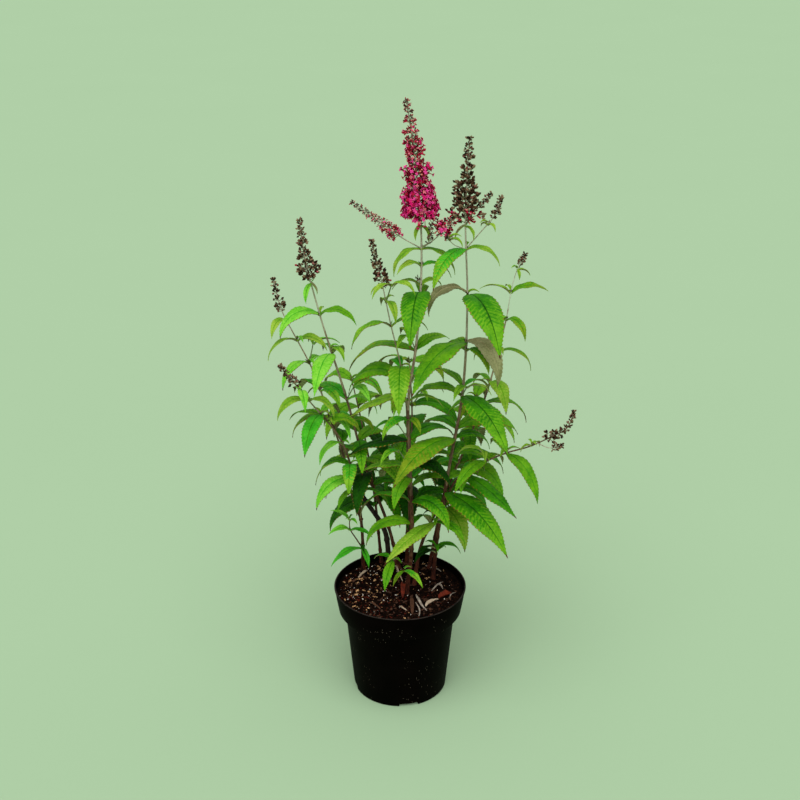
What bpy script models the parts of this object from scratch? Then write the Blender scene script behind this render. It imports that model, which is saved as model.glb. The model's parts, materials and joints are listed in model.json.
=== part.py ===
"""A butterfly bush growing in a black nursery pot, as closed solids.

Units are metres and +Z is up. The origin is the centre of the pot's underside,
and -Y is the side that the plant is seen from. Bearings are degrees seen from
above: 0 points along +X, 90 along +Y (away) and 270 along -Y (near).

Each cane is one smooth route from the soil to the tip of its flower spike. Its
bare foot is a limb, and everything above the limb's cut is one leafy mass: the
stem, its pairs of leaves, short side shoots and the spike, fused together.
"""
import math
import random
from collections import namedtuple

import bmesh
import bpy
import numpy as np
from mathutils import Vector
from mathutils.bvhtree import BVHTree

# Pot, turned about Z
POT_HEIGHT = 0.1302
FOOT_RADIUS = 0.0534
BODY_TOP_RADIUS = 0.0628
COLLAR_FOOT = 0.1000
COLLAR_FOOT_RADIUS = 0.0700
RIM_RADIUS = 0.0750
LIP_HEIGHT = 0.0022
WALL = 0.0016
POT_SIDES = 32
NOTCH_WIDTH = 0.022
NOTCH_HEIGHT = 0.006
NOTCH_COUNT = 4
NOTCH_BEARING = 281.0

# Soil fill, which the stems stand on
SOIL_TOP = 0.1230
GAP = 0.0003
STEM_FOOT = SOIL_TOP + GAP

# Limbs and twigs
STEM_SIDES = 8
TWIG_SIDES = 5
SHOOT_SIDES = 3
RING_STEP = 0.030
FLARE = 0.55
FLARE_REACH = 0.006
FLARE_RINGS = (0.003, 0.007, 0.014)

# Leaves. Stations are shares of a leaf's length
LEAF_STATIONS = (0.0, 0.17, 0.42, 0.70, 1.0)
SMALL_STATIONS = (0.0, 0.32, 0.68, 1.0)
SMALL_LEAF = 0.036
LEAF_WIDTH = 0.235
LONG_LEAF_WIDER = 0.65
LEAF_THICKNESS = 0.013
LEAF_ROOT = 0.0011
LEAF_RISE = 40.0
LEAF_FALL = -92.0
LIFT_OF_RISE = 0.15
LEAF_VARIETY = (4, 4, 16, 8)
SET_LEAF_VARIETY = 0.3
ARCH_STEPS = 24
ARCH_POWER = 0.95
BREADTH_RISE = 0.85
BREADTH_FALL = 1.30
CLEAR_OF_LEAF = 0.0012
CLEAR_OF_STEM = 0.14
FIT_TRIES = ((0, 0, 1.0), (14, 0, 1.0), (-14, 0, 1.0), (0, 16, 1.0), (0, -14, 0.95), (26, 0, 0.95),
             (-26, 0, 0.95), (12, 22, 0.9), (-12, 22, 0.9), (38, -8, 0.85), (-38, -8, 0.85), (18, 34, 0.8),
             (-18, 34, 0.8), (50, 12, 0.75), (-50, 12, 0.75), (0, 0, 0.65), (28, 24, 0.6), (-28, 24, 0.6))

# Axil shoots: a short twig with a few young leaves, in the angle above a leaf
AXIL_CHANCE = 0.36
AXIL_TOP = 0.8
AXIL_LENGTH = (0.012, 0.028)
AXIL_LEAF = (0.022, 0.040)
AXIL_THICK = 0.0011
AXIL_FOOT = 0.35
AXIL_LIFT = 20
SEED = 27

# Flower and seed heads: how much they narrow to the tip, and how far their
# cymes turn up, both as shares of the half width
SPIKE_TAPER = 0.88
SPIKE_LIFT = 0.42
SPIKE_SUNK = 0.006

Spike = namedtuple("Spike", "start width whorls cymes waist")
Twig = namedtuple("Twig", "route thick thin pairs spike")
Cane = namedtuple("Cane", "limb mass cut twig")
Branch = namedtuple("Branch", "limb mass parent leave cut twig")
Leaf = namedtuple("Leaf", "root bearing length width rise fall roll sweep")
Shape = namedtuple("Shape", "points faces")

# Canes that stand in the soil. Routes run foot first. Each leaf pair is its
# height, then the bearing and length of its two leaves, then their bends where
# they differ from the rest: a lift, for a leaf that droops less, or the leaf's
# own rise, fall and roll. A spike is its lowest height, its width, its whorls,
# the cymes in each and how deep it is waisted between them.
CANES = (
    Cane("stem_back", "crown_back", 0.186, Twig(
        ((0.016, 0.008, STEM_FOOT), (0.023, 0.020, 0.164), (0.048, 0.038, 0.220), (0.079, 0.050, 0.293),
         (0.098, 0.062, 0.344), (0.116, 0.073, 0.417), (0.129, 0.084, 0.479), (0.137, 0.090, 0.494)),
        0.0027, 0.0006,
        ((0.203, 150, 0.060, 60, 0.066), (0.228, 100, 0.080, 350, 0.070), (0.262, 20, 0.076, 200, 0.050),
         (0.295, 80, 0.070, 262, 0.050), (0.327, 5, 0.070, 172, 0.055), (0.352, 290, 0.064, 120, 0.044),
         (0.387, 345, 0.052, 150, 0.042), (0.423, 305, 0.046, 160, 0.036),
         (0.453, 170, 0.038, 355, 0.046, 50, 50),
         (0.478, 285, 0.014, 20, 0.020, (-5, -110, 0), (10, -70, 0))),
        Spike(0.482, 0.014, 3, 4, 0.5))),
    Cane("stem_middle", "crown_middle", 0.196, Twig(
        ((0.007, -0.010, STEM_FOOT), (0.012, -0.010, 0.167), (0.011, -0.008, 0.286), (0.009, -0.007, 0.361),
         (0.017, -0.005, 0.423), (0.022, -0.003, 0.509), (0.021, -0.002, 0.554), (0.015, -0.001, 0.617),
         (0.006, 0.000, 0.678)),
        0.0031, 0.0007,
        ((0.212, 185, 0.070, 58, 0.050), (0.240, 325, 0.070, 168, 0.080), (0.268, 245, 0.062, 48, 0.068),
         (0.283, 172, 0.062, 345, 0.062, (18, -42, 0), 0), (0.314, 178, 0.074, 32, 0.072, (8, -46, 0), 25),
         (0.338, 215, 0.046, 306, 0.030), (0.360, 228, 0.034, 5, 0.046, 0, 25),
         (0.417, 171, 0.093, 35, 0.052, (30, -79, 0), 50), (0.479, 261, 0.098, 85, 0.050, (32, -84, 0), 0),
         (0.488, 175, 0.036, 34, 0.033, 25, 25), (0.509, 215, 0.036, 14, 0.041, 25, (25, -80, 0)),
         (0.527, 202, 0.049, 351, 0.050, (14, -100, 0), (14, -90, 0)),
         (0.551, 235, 0.020, 286, 0.026, (0, -110, 0), (-5, -112, 0))),
        Spike(0.554, 0.043, 12, 7, 0.72))),
    Cane("stem_right", "crown_right", 0.200, Twig(
        ((0.038, 0.022, STEM_FOOT), (0.042, 0.019, 0.176), (0.054, 0.013, 0.269), (0.067, 0.007, 0.361),
         (0.070, 0.002, 0.470), (0.066, -0.004, 0.562), (0.068, -0.010, 0.643)),
        0.0030, 0.0007,
        ((0.225, 120, 0.045, 188, 0.040), (0.240, 307, 0.118, 200, 0.050, (10, -49, 0), 0),
         (0.256, 45, 0.052, 200, 0.060), (0.286, 10, 0.060, 175, 0.062),
         (0.308, 225, 0.106, 10, 0.054, (21, -52, 0), 0), (0.320, 15, 0.088, 150, 0.070, 25, 0),
         (0.360, 299, 0.105, 165, 0.066, (13, -48, 0), 25), (0.371, 130, 0.056, 30, 0.045, 50, 0),
         (0.413, 310, 0.052, 115, 0.060), (0.422, 232, 0.107, 309, 0.082, (20, -58, 0), (41, -112, 180)),
         (0.476, 198, 0.066, 288, 0.111, (54, -105, 180), (22, -64, 0)),
         (0.526, 229, 0.069, 348, 0.046, (17, -84, 0), (28, -80, 0)),
         (0.551, 190, 0.020, 325, 0.020, (-5, -110, 180), (-5, -108, 0))),
        Spike(0.553, 0.042, 9, 6, 0.36))),
    Cane("stem_left", "crown_left", 0.226, Twig(
        ((-0.001, 0.046, STEM_FOOT), (-0.013, 0.041, 0.181), (-0.037, 0.032, 0.258), (-0.059, 0.023, 0.353),
         (-0.085, 0.014, 0.452), (-0.099, 0.005, 0.523), (-0.102, 0.000, 0.558)),
        0.0027, 0.0007,
        ((0.238, 158, 0.084, 10, 0.064), (0.254, 255, 0.074, 80, 0.060), (0.272, 120, 0.075, 324, 0.067),
         (0.296, 275, 0.060, 50, 0.066), (0.323, 335, 0.034, 150, 0.052),
         (0.349, 140, 0.072, 350, 0.046, 25, 0), (0.404, 255, 0.080, 70, 0.038, (21, -57, 0), 0),
         (0.410, 300, 0.030, 120, 0.026), (0.450, 205, 0.062, 345, 0.050, 0, 25),
         (0.486, 245, 0.026, 330, 0.015, (-5, -112, 0), (-5, -112, 180))),
        Spike(0.489, 0.031, 8, 5, 0.36))),
    Cane("stem_far_left", "crown_low_left", 0.224, Twig(
        ((-0.043, 0.046, STEM_FOOT), (-0.044, 0.038, 0.182), (-0.053, 0.015, 0.267), (-0.065, -0.001, 0.313),
         (-0.095, -0.017, 0.363), (-0.124, -0.040, 0.414)),
        0.0027, 0.0006,
        ((0.235, 228, 0.044, 345, 0.050), (0.252, 215, 0.070, 262, 0.050), (0.275, 165, 0.050, 282, 0.055),
         (0.306, 222, 0.046, 90, 0.060), (0.337, 160, 0.054, 0, 0.050, 25, 0),
         (0.346, 254, 0.066, 75, 0.050, (20, -77, 0), 0), (0.365, 205, 0.050, 330, 0.044),
         (0.378, 280, 0.040, 120, 0.024)),
        Spike(0.386, 0.017, 5, 4, 0.42))),
    Cane("stem_rear_left", "crown_rear_left", 0.178, Twig(
        ((-0.022, 0.060, STEM_FOOT), (-0.030, 0.082, 0.200), (-0.042, 0.105, 0.270), (-0.058, 0.122, 0.340)),
        0.0024, 0.0008,
        ((0.190, 200, 0.080, 60, 0.080), (0.212, 120, 0.094, 300, 0.086), (0.240, 30, 0.090, 200, 0.088),
         (0.270, 130, 0.084, 290, 0.074), (0.302, 60, 0.074, 225, 0.072), (0.332, 140, 0.062, 330, 0.056)),
        None)),
    Cane("stem_rear", "crown_rear", 0.178, Twig(
        ((0.008, 0.060, STEM_FOOT), (0.010, 0.085, 0.220), (0.014, 0.106, 0.300), (0.010, 0.114, 0.366)),
        0.0026, 0.0008,
        ((0.190, 240, 0.084, 20, 0.080), (0.212, 100, 0.100, 270, 0.088), (0.240, 10, 0.090, 190, 0.092),
         (0.272, 80, 0.088, 260, 0.080), (0.306, 350, 0.076, 165, 0.080), (0.336, 75, 0.068, 245, 0.068),
         (0.358, 160, 0.058, 340, 0.058)),
        None)),
    Cane("stem_rear_right", "crown_rear_right", 0.176, Twig(
        ((0.034, 0.048, STEM_FOOT), (0.048, 0.070, 0.190), (0.070, 0.092, 0.258), (0.090, 0.108, 0.322)),
        0.0024, 0.0008,
        ((0.188, 300, 0.080, 120, 0.080), (0.208, 50, 0.094, 235, 0.074), (0.236, 330, 0.090, 150, 0.084),
         (0.264, 65, 0.084, 250, 0.070), (0.292, 345, 0.074, 160, 0.070), (0.316, 70, 0.064, 240, 0.056)),
        None)),
)

# Boughs and shoots that leave the side of a limb. The route starts on the
# parent's middle line, so only the rest of it is written here.
BRANCHES = (
    Branch("bough_centre_left", "crown_centre_left", "stem_middle", 0.170, 0.345, Twig(
        ((0.011, -0.001, 0.205), (0.010, 0.003, 0.240), (0.008, 0.002, 0.300), (0.007, -0.001, 0.350),
         (0.001, -0.010, 0.400), (-0.009, -0.018, 0.448), (-0.020, -0.026, 0.506), (-0.029, -0.030, 0.545)),
        0.0019, 0.0006,
        ((0.366, 176, 0.073, 240, 0.034, (-6, -48, 0), 0), (0.384, 165, 0.084, 60, 0.032),
         (0.399, 268, 0.080, 110, 0.044, -22, 0), (0.449, 210, 0.062, 6, 0.048, 0, 25),
         (0.476, 290, 0.040, 110, 0.024), (0.492, 200, 0.018, 340, 0.016)),
        Spike(0.496, 0.022, 7, 4, 0.40))),
    Branch("bough_far_left", "crown_far_left", "stem_far_left", 0.194, 0.300, Twig(
        ((-0.053, 0.030, 0.222), (-0.060, 0.024, 0.270), (-0.076, 0.017, 0.328), (-0.097, 0.020, 0.392),
         (-0.110, 0.025, 0.417), (-0.127, 0.033, 0.450), (-0.135, 0.040, 0.483)),
        0.0019, 0.0006,
        ((0.330, 190, 0.058, 312, 0.048), (0.362, 130, 0.056, 320, 0.040), (0.393, 230, 0.058, 60, 0.038),
         (0.417, 215, 0.048, 337, 0.042, 0, 25), (0.438, 240, 0.038, 70, 0.018)),
        Spike(0.447, 0.020, 5, 4, 0.42))),
    Branch("bough_low_right", "crown_low_right", "stem_right", 0.178, 0.263, Twig(
        ((0.047, 0.026, 0.202), (0.052, 0.024, 0.225), (0.060, 0.018, 0.249), (0.078, 0.004, 0.274),
         (0.096, -0.007, 0.290), (0.116, -0.017, 0.304), (0.137, -0.026, 0.315), (0.157, -0.034, 0.329),
         (0.175, -0.041, 0.344), (0.181, -0.045, 0.365)),
        0.0021, 0.0006,
        ((0.266, 317, 0.083, 60, 0.050, (-8, -34, 0), 0), (0.273, 40, 0.030, 250, 0.046),
         (0.289, 228, 0.062, 50, 0.040, (17, -63, 0), 0), (0.303, 310, 0.074, 108, 0.052, (6, -88, 0), 25),
         (0.317, 50, 0.022, 200, 0.018)),
        Spike(0.326, 0.019, 7, 4, 0.42))),
    Branch(None, "shoot_left", "stem_far_left", 0.142, None, Twig(
        ((-0.043, 0.031, 0.158), (-0.050, 0.026, 0.174), (-0.057, 0.022, 0.190), (-0.057, 0.020, 0.204)),
        0.0015, 0.0006,
        ((0.160, 212, 0.046, 292, 0.028, (22, -60, 0), (5, -80, 0)),
         (0.188, 218, 0.032, 335, 0.030, 50, (30, -45, 0)),
         (0.202, 165, 0.026, 305, 0.018, (55, -15, 0), 50)),
        None)),
    Branch(None, "shoot_front", "stem_middle", 0.150, None, Twig(
        ((0.006, -0.019, 0.158), (-0.002, -0.025, 0.168), (-0.009, -0.028, 0.178)),
        0.0013, 0.0007,
        ((0.160, 318, 0.034, 227, 0.024, (20, -65, 0), (0, -75, 0)),
         (0.176, 250, 0.040, 150, 0.030, (0, -80, 0), 25)),
        None)),
    Branch(None, "shoot_right", "stem_right", 0.157, None, Twig(
        ((0.041, 0.008, 0.167), (0.040, 0.000, 0.179)),
        0.0013, 0.0007,
        ((0.168, 214, 0.036, 50, 0.022, 25, 25), (0.177, 215, 0.034, 5, 0.036, 25, (40, -80, 0))),
        None)),
)

# Side shoots fused to a mass's own stem: flower heads and buds from its axils
SIDE_TWIGS = {
    "crown_middle": (
        Twig(((0.022, -0.003, 0.527), (0.001, -0.007, 0.540), (-0.022, -0.010, 0.558), (-0.049, -0.014, 0.579)),
             0.0009, 0.0005, (), Spike(0.541, 0.017, 7, 4, 0.45)),
        Twig(((0.022, -0.003, 0.527), (0.038, -0.008, 0.541), (0.047, -0.010, 0.552), (0.055, -0.012, 0.566)),
             0.0009, 0.0005, (), Spike(0.543, 0.022, 3, 5, 0.6)),
        Twig(((0.022, -0.003, 0.529), (0.029, -0.013, 0.537), (0.031, -0.016, 0.557)),
             0.0007, 0.0005, (), Spike(0.536, 0.011, 3, 4, 0.45)),
        Twig(((0.022, -0.003, 0.488), (0.017, -0.008, 0.498)),
             0.0006, 0.0005, (), Spike(0.493, 0.007, 1, 3, 0.5)),
    ),
    "crown_right": (
        Twig(((0.0455, 0.0172, 0.204), (0.043, 0.006, 0.210), (0.039, -0.006, 0.213)),
             0.0011, 0.0008, ((0.2125, 223, 0.083, 317, 0.051, (0, -34, 0), (35, -62, 0)),), None),
        Twig(((0.067, -0.001, 0.526), (0.082, -0.004, 0.545), (0.095, -0.008, 0.563), (0.101, -0.010, 0.583)),
             0.0009, 0.0005, ((0.553, 310, 0.016, 150, 0.012),), Spike(0.560, 0.015, 4, 4, 0.45)),
        Twig(((0.067, -0.004, 0.558), (0.080, -0.007, 0.572), (0.092, -0.009, 0.587)),
             0.0008, 0.0005, (), Spike(0.570, 0.010, 3, 4, 0.45)),
        Twig(((0.066, -0.001, 0.526), (0.054, -0.012, 0.534), (0.046, -0.020, 0.545)),
             0.0007, 0.0005, ((0.540, 250, 0.015, 330, 0.020),), Spike(0.540, 0.009, 1, 4, 0.5)),
    ),
    "crown_centre_left": (
        Twig(((-0.018, -0.024, 0.492), (-0.012, -0.026, 0.500)),
             0.0006, 0.0005, (), Spike(0.494, 0.008, 1, 3, 0.5)),
    ),
    "crown_low_right": (
        Twig(((0.146, -0.030, 0.321), (0.158, -0.044, 0.322), (0.170, -0.052, 0.329)),
             0.0007, 0.0005, (), Spike(0.323, 0.014, 2, 4, 0.45)),
    ),
}

# The stub of last year's stem
OLD_ROUTE = ((-0.013, 0.053, STEM_FOOT), (-0.018, 0.054, 0.170), (-0.040, 0.056, 0.208), (-0.047, 0.058, 0.220))
OLD_THICK = 0.0040
OLD_THIN = 0.0033

COLOURS = {
    "pot": (0.012, 0.012, 0.012), "soil": (0.045, 0.022, 0.013), "stem": (0.12, 0.075, 0.045),
    "bough": (0.17, 0.12, 0.075), "crown": (0.13, 0.30, 0.03), "shoot": (0.08, 0.32, 0.05),
}
ROUGHNESS = {"pot": 0.42, "soil": 0.95}


class Route:
    """A smooth curve through a few points, measured by distance from its foot"""

    def __init__(self, points):
        knots = np.array(points)
        spans = np.linalg.norm(np.diff(knots, axis=0), axis=1)
        marks = np.concatenate(([0.0], np.cumsum(spans)))
        slopes = np.gradient(knots, marks, axis=0)
        dense = []
        for index, span in enumerate(spans):
            share = np.linspace(0.0, 1.0, 16, endpoint=False)[:, None]
            square = share * share
            cube = square * share
            dense.append((2 * cube - 3 * square + 1) * knots[index]
                         + (cube - 2 * square + share) * span * slopes[index]
                         + (3 * square - 2 * cube) * knots[index + 1]
                         + (cube - square) * span * slopes[index + 1])
        self.points = np.vstack(dense + [knots[-1:]])
        steps = np.linalg.norm(np.diff(self.points, axis=0), axis=1)
        self.run = np.concatenate(([0.0], np.cumsum(steps)))
        self.length = float(self.run[-1])

    def place(self, distance):
        return Vector([float(np.interp(distance, self.run, self.points[:, axis])) for axis in range(3)])

    def heading(self, distance):
        reach = 0.002
        low = max(0.0, min(distance, self.length - reach) - reach)
        high = min(self.length, max(distance, reach) + reach)
        return (self.place(high) - self.place(low)).normalized()

    def at_height(self, height):
        return float(np.interp(height, self.points[:, 2], self.run))

    def clearance(self, point):
        """The distance from a point to the nearest place on the route"""
        starts = self.points[:-1]
        spans = np.diff(self.points, axis=0)
        offsets = np.array(point) - starts
        shares = np.clip(np.sum(offsets * spans, axis=1) / np.sum(spans * spans, axis=1), 0.0, 1.0)
        return float(np.min(np.linalg.norm(offsets - spans * shares[:, None], axis=1)))


def taper(route, thick, thin, flared=False):
    """A limb's radius as a function of distance: an even taper, with a flare at a root foot"""
    def radius(distance):
        even = thick + (thin - thick) * distance / route.length
        return even * (1.0 + FLARE * math.exp(-distance / FLARE_REACH)) if flared else even
    return radius


def rings(route, distances, radius, sides):
    """Rings of points square to a route, turned as little as possible from one to the next"""
    side = route.heading(distances[0]).orthogonal().normalized()
    found = []
    for distance in distances:
        heading = route.heading(distance)
        side = (side - heading * side.dot(heading)).normalized()
        across = heading.cross(side)
        centre = route.place(distance)
        reach = radius(distance)
        found.append([centre + (side * math.cos(turn) + across * math.sin(turn)) * reach
                      for turn in (math.tau * step / sides for step in range(sides))])
    return found


def skin(sections):
    """A closed shape through sections of equal size; a section of one point closes an end"""
    points = [tuple(point) for section in sections for point in section]
    starts = np.cumsum([0] + [len(section) for section in sections]).tolist()
    faces = []
    for index in range(len(sections) - 1):
        near = list(range(starts[index], starts[index + 1]))
        far = list(range(starts[index + 1], starts[index + 2]))
        count = max(len(near), len(far))
        for step in range(count):
            after = (step + 1) % count
            corners = [near[step % len(near)], near[after % len(near)],
                       far[after % len(far)], far[step % len(far)]]
            faces.append(tuple(dict.fromkeys(corners)))
    for section, flip in ((0, True), (len(sections) - 1, False)):
        if len(sections[section]) > 1:
            cap = tuple(range(starts[section], starts[section + 1]))
            faces.append(cap[::-1] if flip else cap)
    return Shape(points, faces)


def tube(route, start, end, radius, sides, foot_height=None):
    """A tapering limb along part of a route, cut level at foot_height where that is given"""
    count = max(1, round((end - start) / RING_STEP))
    distances = [start + (end - start) * step / count for step in range(count + 1)]
    if foot_height is not None:
        distances = sorted([start] + [start + rise for rise in FLARE_RINGS]
                           + [distance for distance in distances if distance > start + FLARE_RINGS[-1] * 1.4])
    sections = rings(route, distances, radius, sides)
    if foot_height is not None:
        heading = route.heading(start)
        sections[0] = [point + heading * ((foot_height - point.z) / heading.z) for point in sections[0]]
    return skin(sections)


def breadth(share):
    """A leaf's half width as a share of its widest"""
    peak = BREADTH_RISE / (BREADTH_RISE + BREADTH_FALL)
    return (share / peak) ** BREADTH_RISE * ((1.0 - share) / (1.0 - peak)) ** BREADTH_FALL


def arch(leaf, stations):
    """Middle point, side direction and upper normal at each station of an arching, drooping leaf"""
    wanted = list(stations)
    found = []
    point = leaf.root.copy()
    for step in range(ARCH_STEPS + 1):
        share = step / ARCH_STEPS
        rise = math.radians(leaf.rise + (leaf.fall - leaf.rise) * share ** ARCH_POWER)
        bearing = math.radians(leaf.bearing + leaf.sweep * share)
        outward = Vector((math.cos(bearing), math.sin(bearing), 0.0))
        flat = Vector((-math.sin(bearing), math.cos(bearing), 0.0))
        heading = outward * math.cos(rise) + Vector((0.0, 0.0, math.sin(rise)))
        upper = heading.cross(flat)
        roll = math.radians(leaf.roll)
        while wanted and wanted[0] < share + 0.5 / ARCH_STEPS:
            found.append((point + heading * leaf.length * (wanted.pop(0) - share),
                          flat * math.cos(roll) + upper * math.sin(roll),
                          upper * math.cos(roll) - flat * math.sin(roll)))
        point = point + heading * leaf.length / ARCH_STEPS
    return found


def leaf_shape(leaf, margin=0.0, first=0.0):
    """A leaf flat above and keeled below; margin swells it, and first leaves its foot out"""
    stations = LEAF_STATIONS if leaf.length > SMALL_LEAF else SMALL_STATIONS
    stations = [share for share in stations if share > first]
    stations.insert(0, first)
    sections = []
    for share, (middle, side, upper) in zip(stations, arch(leaf, stations)):
        half = max(leaf.width * leaf.length / 2.0 * breadth(share), LEAF_ROOT * (1.0 - share)) + margin
        depth = max(leaf.length * LEAF_THICKNESS, LEAF_ROOT) + margin
        if share == 1.0 and not margin:
            sections.append([middle])
        else:
            lift = upper * margin
            sections.append([middle + side * half + lift, middle - side * half + lift, middle - upper * depth])
    return skin(sections)


class Space:
    """Shapes already placed, to keep new ones clear of"""

    def __init__(self):
        self.placed = []

    def add(self, shape, owner):
        points = np.array(shape.points)
        tree = BVHTree.FromPolygons(shape.points, shape.faces)
        self.placed.append((points.min(axis=0), points.max(axis=0), tree, owner))

    def meets(self, shape, apart_from=None):
        """Whether a shape touches any placed one, leaving out those of one owner"""
        points = np.array(shape.points)
        low = points.min(axis=0)
        high = points.max(axis=0)
        tree = None
        for other_low, other_high, other_tree, owner in self.placed:
            if apart_from is not None and owner == apart_from:
                continue
            if np.all(low <= other_high) and np.all(other_low <= high):
                tree = tree or BVHTree.FromPolygons(shape.points, shape.faces)
                if tree.overlap(other_tree):
                    return True
        return False


def fit_leaf(leaf, space, owner):
    """The leaf as it is, or turned, tilted or shortened until it is clear; None where nothing is.
    Its foot may touch only its own mass."""
    for turn, tilt, scale in FIT_TRIES:
        trial = leaf._replace(bearing=leaf.bearing + turn, fall=leaf.fall + tilt, length=leaf.length * scale)
        blade = leaf_shape(trial, CLEAR_OF_LEAF, CLEAR_OF_STEM)
        whole = leaf_shape(trial, CLEAR_OF_LEAF)
        if not space.meets(blade) and not space.meets(whole, owner):
            space.add(whole, owner)
            return trial
    return None


def make_leaf(random_source, root, bearing, length, bend=0.0):
    """A leaf with a little seeded variety, and less of it where the bend is a rise, fall and roll"""
    width = (LEAF_WIDTH + LONG_LEAF_WIDER * length) * random_source.uniform(0.92, 1.08)
    bearing += random_source.uniform(-2, 2)
    length *= random_source.uniform(0.98, 1.02)
    rise, fall, roll, sweep = (random_source.uniform(-most, most) for most in LEAF_VARIETY)
    if isinstance(bend, tuple):
        set_rise, set_fall, set_roll = bend
        share = SET_LEAF_VARIETY
        return Leaf(root, bearing, length, width, set_rise + rise * share, set_fall + fall * share,
                    set_roll + roll * share, sweep * share)
    return Leaf(root, bearing, length, width, LEAF_RISE + bend * LIFT_OF_RISE + rise,
                LEAF_FALL + bend + fall, roll, sweep)


def pair_sides(twig, route):
    """Root, bearing, length and bend of every leaf in a twig's pairs"""
    for height, *both in twig.pairs:
        root = route.place(route.at_height(height))
        bends = both[4:] or (0, 0)
        yield root, both[0], both[1], bends[0]
        yield root, both[2], both[3], bends[1]


def pair_leaves(random_source, twig, route, space, owner):
    """The leaves of a twig's pairs"""
    leaves = []
    for root, bearing, length, bend in pair_sides(twig, route):
        leaf = fit_leaf(make_leaf(random_source, root, bearing, length, bend), space, owner)
        if leaf:
            leaves.append(leaf)
    return leaves


def axil_shoots(random_source, twig, route, space, owner):
    """Short shoots in some of the axils, lower ones longer: their stems, and then their leaves"""
    stems = []
    leaves = []
    sides = list(pair_sides(twig, route))
    for index, (root, bearing, length, bend) in enumerate(sides):
        chance = random_source.random()
        if chance < AXIL_CHANCE and length > SMALL_LEAF and index < len(sides) * AXIL_TOP:
            stem, young = axil_shoot(random_source, root, bearing, space, owner)
            stems += stem
            leaves += young
    return stems, leaves


def axil_shoot(random_source, root, bearing, space, owner):
    """A short twig rising from an axil, with two young leaves at its end"""
    length = random_source.uniform(*AXIL_LENGTH)
    lean = math.radians(bearing + random_source.uniform(-10, 10))
    rise = math.radians(random_source.uniform(54, 70))
    away = Vector((math.cos(lean) * math.cos(rise), math.sin(lean) * math.cos(rise), math.sin(rise)))
    route = Route([tuple(root), tuple(root + away * length)])
    sizes = [random_source.uniform(*AXIL_LEAF) for side in range(2)]
    swollen = taper(route, AXIL_THICK * 2.2, AXIL_THICK * 2.2)
    upper_part = tube(route, length * AXIL_FOOT, length, swollen, SHOOT_SIDES)
    if space.meets(upper_part) or space.meets(tube(route, 0.0, length, swollen, SHOOT_SIDES), owner):
        return [], []
    space.add(upper_part, owner)
    young = []
    for turn, size in zip((48, -62), sizes):
        leaf = make_leaf(random_source, root + away * length * 0.9, bearing + turn, size, AXIL_LIFT)
        leaf = fit_leaf(leaf, space, owner)
        if leaf:
            young.append(leaf)
    stem = tube(route, 0.0, length, taper(route, AXIL_THICK, AXIL_THICK * 0.8), SHOOT_SIDES)
    return ([stem] if young else []), young


def spike_shape(random_source, head, route):
    """A flower or seed head: whorls of up-turned cymes, waisted between, fine at its tip"""
    start = route.at_height(head.start)
    reach = route.length - start
    count = head.cymes * 2
    sections = []
    for step in range(head.whorls * 2):
        share = (step + 0.3) / (head.whorls * 2)
        distance = start + reach * share
        heading = route.heading(distance)
        side = heading.orthogonal().normalized()
        across = heading.cross(side)
        half = head.width / 2.0 * (1.0 - SPIKE_TAPER * share ** 0.9)
        whorl = step % 2 == 1
        ring = []
        for corner in range(count):
            lobe = whorl and (corner + step // 2) % 2 == 0
            turn = math.tau * corner / count
            out = half * (random_source.uniform(0.86, 1.10) if lobe else head.waist)
            lift = heading * half * (SPIKE_LIFT if lobe else 0.0)
            ring.append(route.place(distance) + (side * math.cos(turn) + across * math.sin(turn)) * out + lift)
        sections.append(ring)
    return skin([[route.place(start - 0.001)]] + sections + [[route.place(route.length)]])


def spread(value):
    """A word's letters as one number, to seed each mass by its name"""
    return sum((index + 1) * ord(letter) for index, letter in enumerate(value))


def start_clear_of(parent, parent_radius, route, radius, floor):
    """The first distance where a branch's end is a gap clear of its parent's side"""
    distance = floor
    while distance < route.length:
        ring = rings(route, (distance, distance + 0.001), radius, STEM_SIDES)[0]
        if all(parent.clearance(point) >= parent_radius + GAP for point in ring):
            return distance
        distance += 0.0002
    return route.length


def plan():
    """Every limb, and every mass with the twig it grows on and where that starts"""
    limbs = {}
    masses = {}
    routes = {}
    for cane in CANES:
        route = Route(cane.twig.route)
        radius = taper(route, cane.twig.thick, cane.twig.thin, flared=True)
        cut = route.at_height(cane.cut)
        routes[cane.limb] = (route, radius)
        limbs[cane.limb] = tube(route, 0.0, cut, radius, STEM_SIDES, STEM_FOOT)
        masses[cane.mass] = (cane.twig, route, radius, cut + GAP)
    for branch in BRANCHES:
        parent, parent_radius = routes[branch.parent]
        leave = parent.at_height(branch.leave)
        route = Route((tuple(parent.place(leave)),) + branch.twig.route)
        radius = taper(route, branch.twig.thick, branch.twig.thin)
        start = start_clear_of(parent, parent_radius(leave), route, radius, 0.001)
        if branch.limb:
            cut = route.at_height(branch.cut)
            limbs[branch.limb] = tube(route, start, cut, radius, STEM_SIDES)
            start = cut + GAP
        masses[branch.mass] = (branch.twig, route, radius, start)
    limbs["stem_old"] = old_stub()
    return limbs, masses


def old_stub():
    """Last year's stem, cut off square to its own slope"""
    route = Route(OLD_ROUTE)
    return tube(route, 0.0, route.length, taper(route, OLD_THICK, OLD_THIN, flared=True), STEM_SIDES, STEM_FOOT)


def stem_end(twig, route):
    """Where a twig's own wood stops: at its tip, or a little way inside its spike"""
    if not twig.spike:
        return route.length
    return min(route.length - 0.001, route.at_height(twig.spike.start) + SPIKE_SUNK)


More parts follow.
